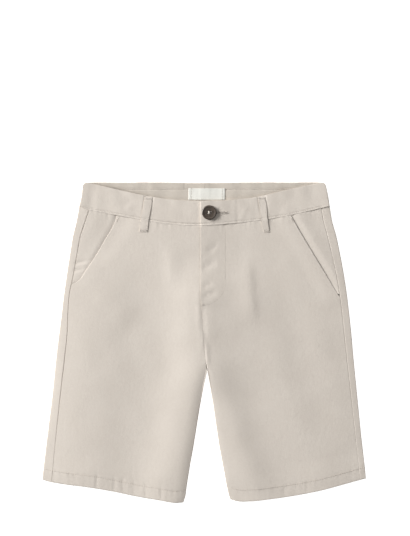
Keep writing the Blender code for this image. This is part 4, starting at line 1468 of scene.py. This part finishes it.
HEM_ROW_X = {"right": (-191.0, -26.0), "left": (191.0, 32.0)}
BAND_ROW_X = {"right": (FLY_X - 2.5, -139.0), "left": (FLY_X + 2.0, 139.0)}
BACK_ROW_X = (1.5, 139.0)
INNER_ROW_X = 112.0
FLY_ROW_TOP_Y = 140.5
LOOP_ROW_IN = 1.5  # how far from a front loop's ends its rows of stitches stop
BACK_LOOP_ROW_Y = (189.8, 164.0)

panels = [*fronts.values(), *backs.values()]
bands = list(waistbands.values())
rows = []


def along_band(x, band):
    """The edge stitching of the waistband, above its seam."""
    return np.stack([x, curve(band, "seam", x) + SEAM / 2 + BAND_STITCH], 1)


for side, s in SIDE_OF.items():
    x = np.linspace(*HEM_ROW_X[side], 60)
    hem = np.stack([x, curve(HEM[side], "y", x) + HEM_DEPTH], 1)
    rows.append(laid_on(panels, hem))
    rows.append(laid_on(panels, hem, below=True))
    front = along_band(np.linspace(*BAND_ROW_X[side], 60), BAND_FRONT)
    rows.append(laid_on(bands, front, sink=0.18))
    back = along_band(s * np.linspace(*BACK_ROW_X, 50), BAND_BACK)
    rows.append(laid_on(bands, back, below=True))

fly_wide, fly_tall = FLY_LINE_X - FLY_X, FLY_TURN_Y - FLY_END_Y
fly_line = [(FLY_LINE_X, FLY_ROW_TOP_Y), (FLY_LINE_X, FLY_TURN_Y)]
for turn in np.linspace(0.0, math.pi / 2, 24)[1:-1]:
    fly_line.append((FLY_X + fly_wide * math.cos(turn), FLY_TURN_Y - fly_tall * math.sin(turn)))
rows.append(laid_on(panels, fly_line, sink=0.2))
x = np.linspace(-INNER_ROW_X, INNER_ROW_X, 80)
inner_row = np.stack([x, curve(BAND_BACK, "top", x) - INNER_LINE], 1)
rows.append(laid_on(bands, inner_row, highest=3.2))

for side, ends in FRONT_LOOPS.items():
    top, low = np.array(ends["top"]), np.array(ends["low"])
    for edge in (-LOOP_STITCH, LOOP_STITCH):
        out = np.array([edge / 2, 0.0])
        from_top = top + out * ends["wide"][0] - (0, LOOP_ROW_IN)
        to_low = low + out * ends["wide"][1] + (0, LOOP_ROW_IN)
        rows.append(laid_on([belt_loops["front_" + side]], [from_top, to_low], sink=0.3))
for name, x in BACK_LOOPS.items():
    for edge in (-LOOP_STITCH / 2, LOOP_STITCH / 2):
        path = [(x + edge * LOOP_WIDTH, y) for y in BACK_LOOP_ROW_Y]
        rows.append(laid_on([belt_loops["back_" + name]], path, below=True))
for x in (LABEL_X[0] + LABEL_STITCH, LABEL_X[1] - LABEL_STITCH):
    rows.append(laid_on([label], [(x, LABEL_Y[0] + 0.6), (x, LABEL_Y[1] - 0.6)], sink=0.1))
sew("seam_stitches", rows, STITCH, STITCH + STITCH_GAP, THREAD_R)

BACK_TACK_Y = (189.6, 164.6)
BACK_TACK_HALF = 3.6
FLY_TACK_X, FLY_TACK_Y = (FLY_X + 0.8, FLY_X + 4.2), FLY_END_Y + 1.2
MOUTH_TACK_Y, MOUTH_TACK_IN = (149.6, 145.4), 2.2

tacks = []
for side, ends in FRONT_LOOPS.items():
    for key, wide, up in (("top", ends["wide"][0], -2.0), ("low", ends["wide"][1], 2.0)):
        x, y = ends[key]
        half = wide / 2 - 1.0
        tacks.append(laid_on([belt_loops["front_" + side]], [(x - half, y + up), (x + half, y + up)]))
for name, x in BACK_LOOPS.items():
    for y in BACK_TACK_Y:
        path = [(x - BACK_TACK_HALF, y), (x + BACK_TACK_HALF, y)]
        tacks.append(laid_on([belt_loops["back_" + name]], path, below=True))
tacks.append(laid_on([fronts["left"]], [(x, FLY_TACK_Y) for x in FLY_TACK_X], sink=0.15))
for side, s in SIDE_OF.items():
    mouth_x = curve(MOUTH[side], "x", np.array(MOUTH_TACK_Y)) - s * MOUTH_TACK_IN
    tacks.append(laid_on([fronts[side]], list(zip(mouth_x, MOUTH_TACK_Y)), sink=0.15))
sew("bartacks", tacks, 1.7, TACK_PITCH, TACK_R, turn=ACROSS)

hole_y = BUTTON_XY[1]
overcast = []
for off in (0.95, -0.95):
    path = [(HOLE_START_X + 3.0, hole_y + off), (HOLE_END_X, hole_y + off)]
    overcast.append(laid_on([waistbands["left"]], path))
sew("buttonhole_stitches", overcast, 1.5, 0.36, 0.16, turn=ACROSS)
path = [(HOLE_END_X + 0.2, hole_y), (HOLE_END_X + 1.6, hole_y)]
end_tack = laid_on([waistbands["left"]], path, sink=0.14)
sew("buttonhole_tack", [end_tack], 3.4, TACK_PITCH, TACK_R, turn=ACROSS)


def tube(points, radius, sides=8):
    """Points and faces of a closed round tube along some points, in millimetres."""
    points = np.array(points, float)
    ahead = np.gradient(points, axis=0)
    ahead /= np.linalg.norm(ahead, axis=1, keepdims=True)
    across = np.cross(ahead, [0.03, 0.02, 1.0])
    across /= np.linalg.norm(across, axis=1, keepdims=True)
    up = np.cross(across, ahead)
    turn = np.linspace(0, math.tau, sides, endpoint=False)[None, :, None]
    ring = points[:, None] + radius * (np.cos(turn) * across[:, None] + np.sin(turn) * up[:, None])
    count = len(points)
    faces = []
    for i in range(count - 1):
        for k in range(sides):
            a, b = i * sides + k, i * sides + (k + 1) % sides
            faces.append((a, b, b + sides, a + sides))
    faces.append(tuple(range(sides))[::-1])
    faces.append(tuple((count - 1) * sides + k for k in range(sides)))
    return ring.reshape(-1, 3), faces


# Three strands go from hole to hole each way over the dish, and a wound shank is below.
STRAND_R, STRAND_APART = 0.23, 0.36
SHANK_R = 1.6
SHANK_Z = (BUTTON_BASE_Z - 0.5, BUTTON_BASE_Z + 0.3)
strand_low_z = BUTTON_BASE_Z + DISH_UP - 1.6
tubes = []
for start, end, lift in ((HOLES[0], HOLES[2], 0.0), (HOLES[1], HOLES[3], 0.42)):
    (x0, y0), (x1, y1) = start, end
    side_way = np.array([-(y1 - y0), x1 - x0]) / math.hypot(x1 - x0, y1 - y0)
    for strand in (-1.0, 0.0, 1.0):
        at = np.linspace(-0.06, 1.06, 15)
        spread = STRAND_APART * strand * (0.75 + 0.25 * np.sin(np.pi * np.clip(at, 0, 1)))
        x = x0 + (x1 - x0) * at + side_way[0] * spread
        y = y0 + (y1 - y0) * at + side_way[1] * spread
        arch = np.clip(np.sin(np.pi * np.clip(at * 0.94 + 0.03, 0, 1)), 0, 1) ** 0.35
        z = strand_low_z + (1.95 + lift) * arch + 0.05 * (1 - abs(strand))
        tubes.append(tube(np.stack([x, y, z], 1), STRAND_R))
shank = np.array([(*BUTTON_XY, z) for z in np.linspace(*SHANK_Z, 4)])
uneven = [[0, 0, 0], [0.01, 0, 0], [0.01, 0.01, 0], [0, 0, 0]]
tubes.append(tube(shank + uneven, SHANK_R, sides=16))

verts, faces = [], []
for ring, quads in tubes:
    faces += [tuple(k + len(verts) for k in quad) for quad in quads]
    verts += ring.tolist()
mesh = bpy.data.meshes.new("button_thread")
mesh.from_pydata([tuple(to_world(v)) for v in verts], [], faces)
bm = bmesh.new()
bm.from_mesh(mesh)
bmesh.ops.recalc_face_normals(bm, faces=bm.faces)
bm.to_mesh(mesh)
bm.free()
mesh.shade_smooth()
mesh.materials.append(thread)
button_thread = new_object("button_thread", mesh)
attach(button_thread, "root")

# --------------------------------------------------------------- table and light
# The shorts lie on a plain white table, lit from -X and a little from the waist by a broad
# soft light, low enough to bring out the folds, and by an even fill, and are seen from
# straight above. Sizes here are in metres, but for the width of the camera's sensor.

TABLE_SIZE = 4.0
TABLE_Z = -0.00005
mesh = bpy.data.meshes.new("table")
half = TABLE_SIZE / 2
corners = [(x * half, y * half, TABLE_Z) for x, y in ((-1, -1), (1, -1), (1, 1), (-1, 1))]
mesh.from_pydata(corners, [], [(0, 1, 2, 3)])
floor = new_object("table", mesh)
white, tree, shader = material("table_white")
connect(
    tree,
    shader,
    Base_Color=(0.9, 0.9, 0.9, 1.0),
    Roughness=0.9,
    Emission_Color=(1.0, 1.0, 1.0, 1.0),
    Emission_Strength=0.85,
)
mesh.materials.append(white)

LIGHT_AWAY, LIGHT_HEIGHT_ANGLE, LIGHT_ROUND = 4.5, 20.0, 157.0  # distance, and degrees
LIGHT_SIZE = (2.6, 2.0)
FILL = 0.3
KEY_POWER = 455.0
key = bpy.data.lights.new("key", "AREA")
key.shape = "RECTANGLE"
key.size, key.size_y = LIGHT_SIZE
key.energy = KEY_POWER
lamp = new_object("key", key)
low, turn = math.radians(LIGHT_HEIGHT_ANGLE), math.radians(LIGHT_ROUND)
towards = (math.cos(low) * math.cos(turn), math.cos(low) * math.sin(turn), math.sin(low))
lamp.location = LIGHT_AWAY * Vector(towards)
lamp.rotation_euler = lamp.location.to_track_quat("Z", "Y").to_euler()
world = bpy.data.worlds.new("studio")
world.use_nodes = True
world.node_tree.nodes["Background"].inputs["Color"].default_value = (1.0, 1.0, 1.0, 1.0)
world.node_tree.nodes["Background"].inputs["Strength"].default_value = FILL
scene = bpy.context.scene
scene.world = world
scene.view_settings.view_transform = "Standard"

CAMERA_AWAY = 3.0
VIEW_TALL, VIEW_MIDDLE = 0.6432, (0.00108, 0.08955)
SENSOR_WIDE = 36.0  # millimetres
lens = bpy.data.cameras.new("camera")
lens.sensor_width = SENSOR_WIDE
lens.lens = SENSOR_WIDE * CAMERA_AWAY / VIEW_TALL
lens.clip_start, lens.clip_end = 0.1, 20.0
camera = new_object("camera", lens)
camera.location = (*VIEW_MIDDLE, CAMERA_AWAY)
scene.camera = camera
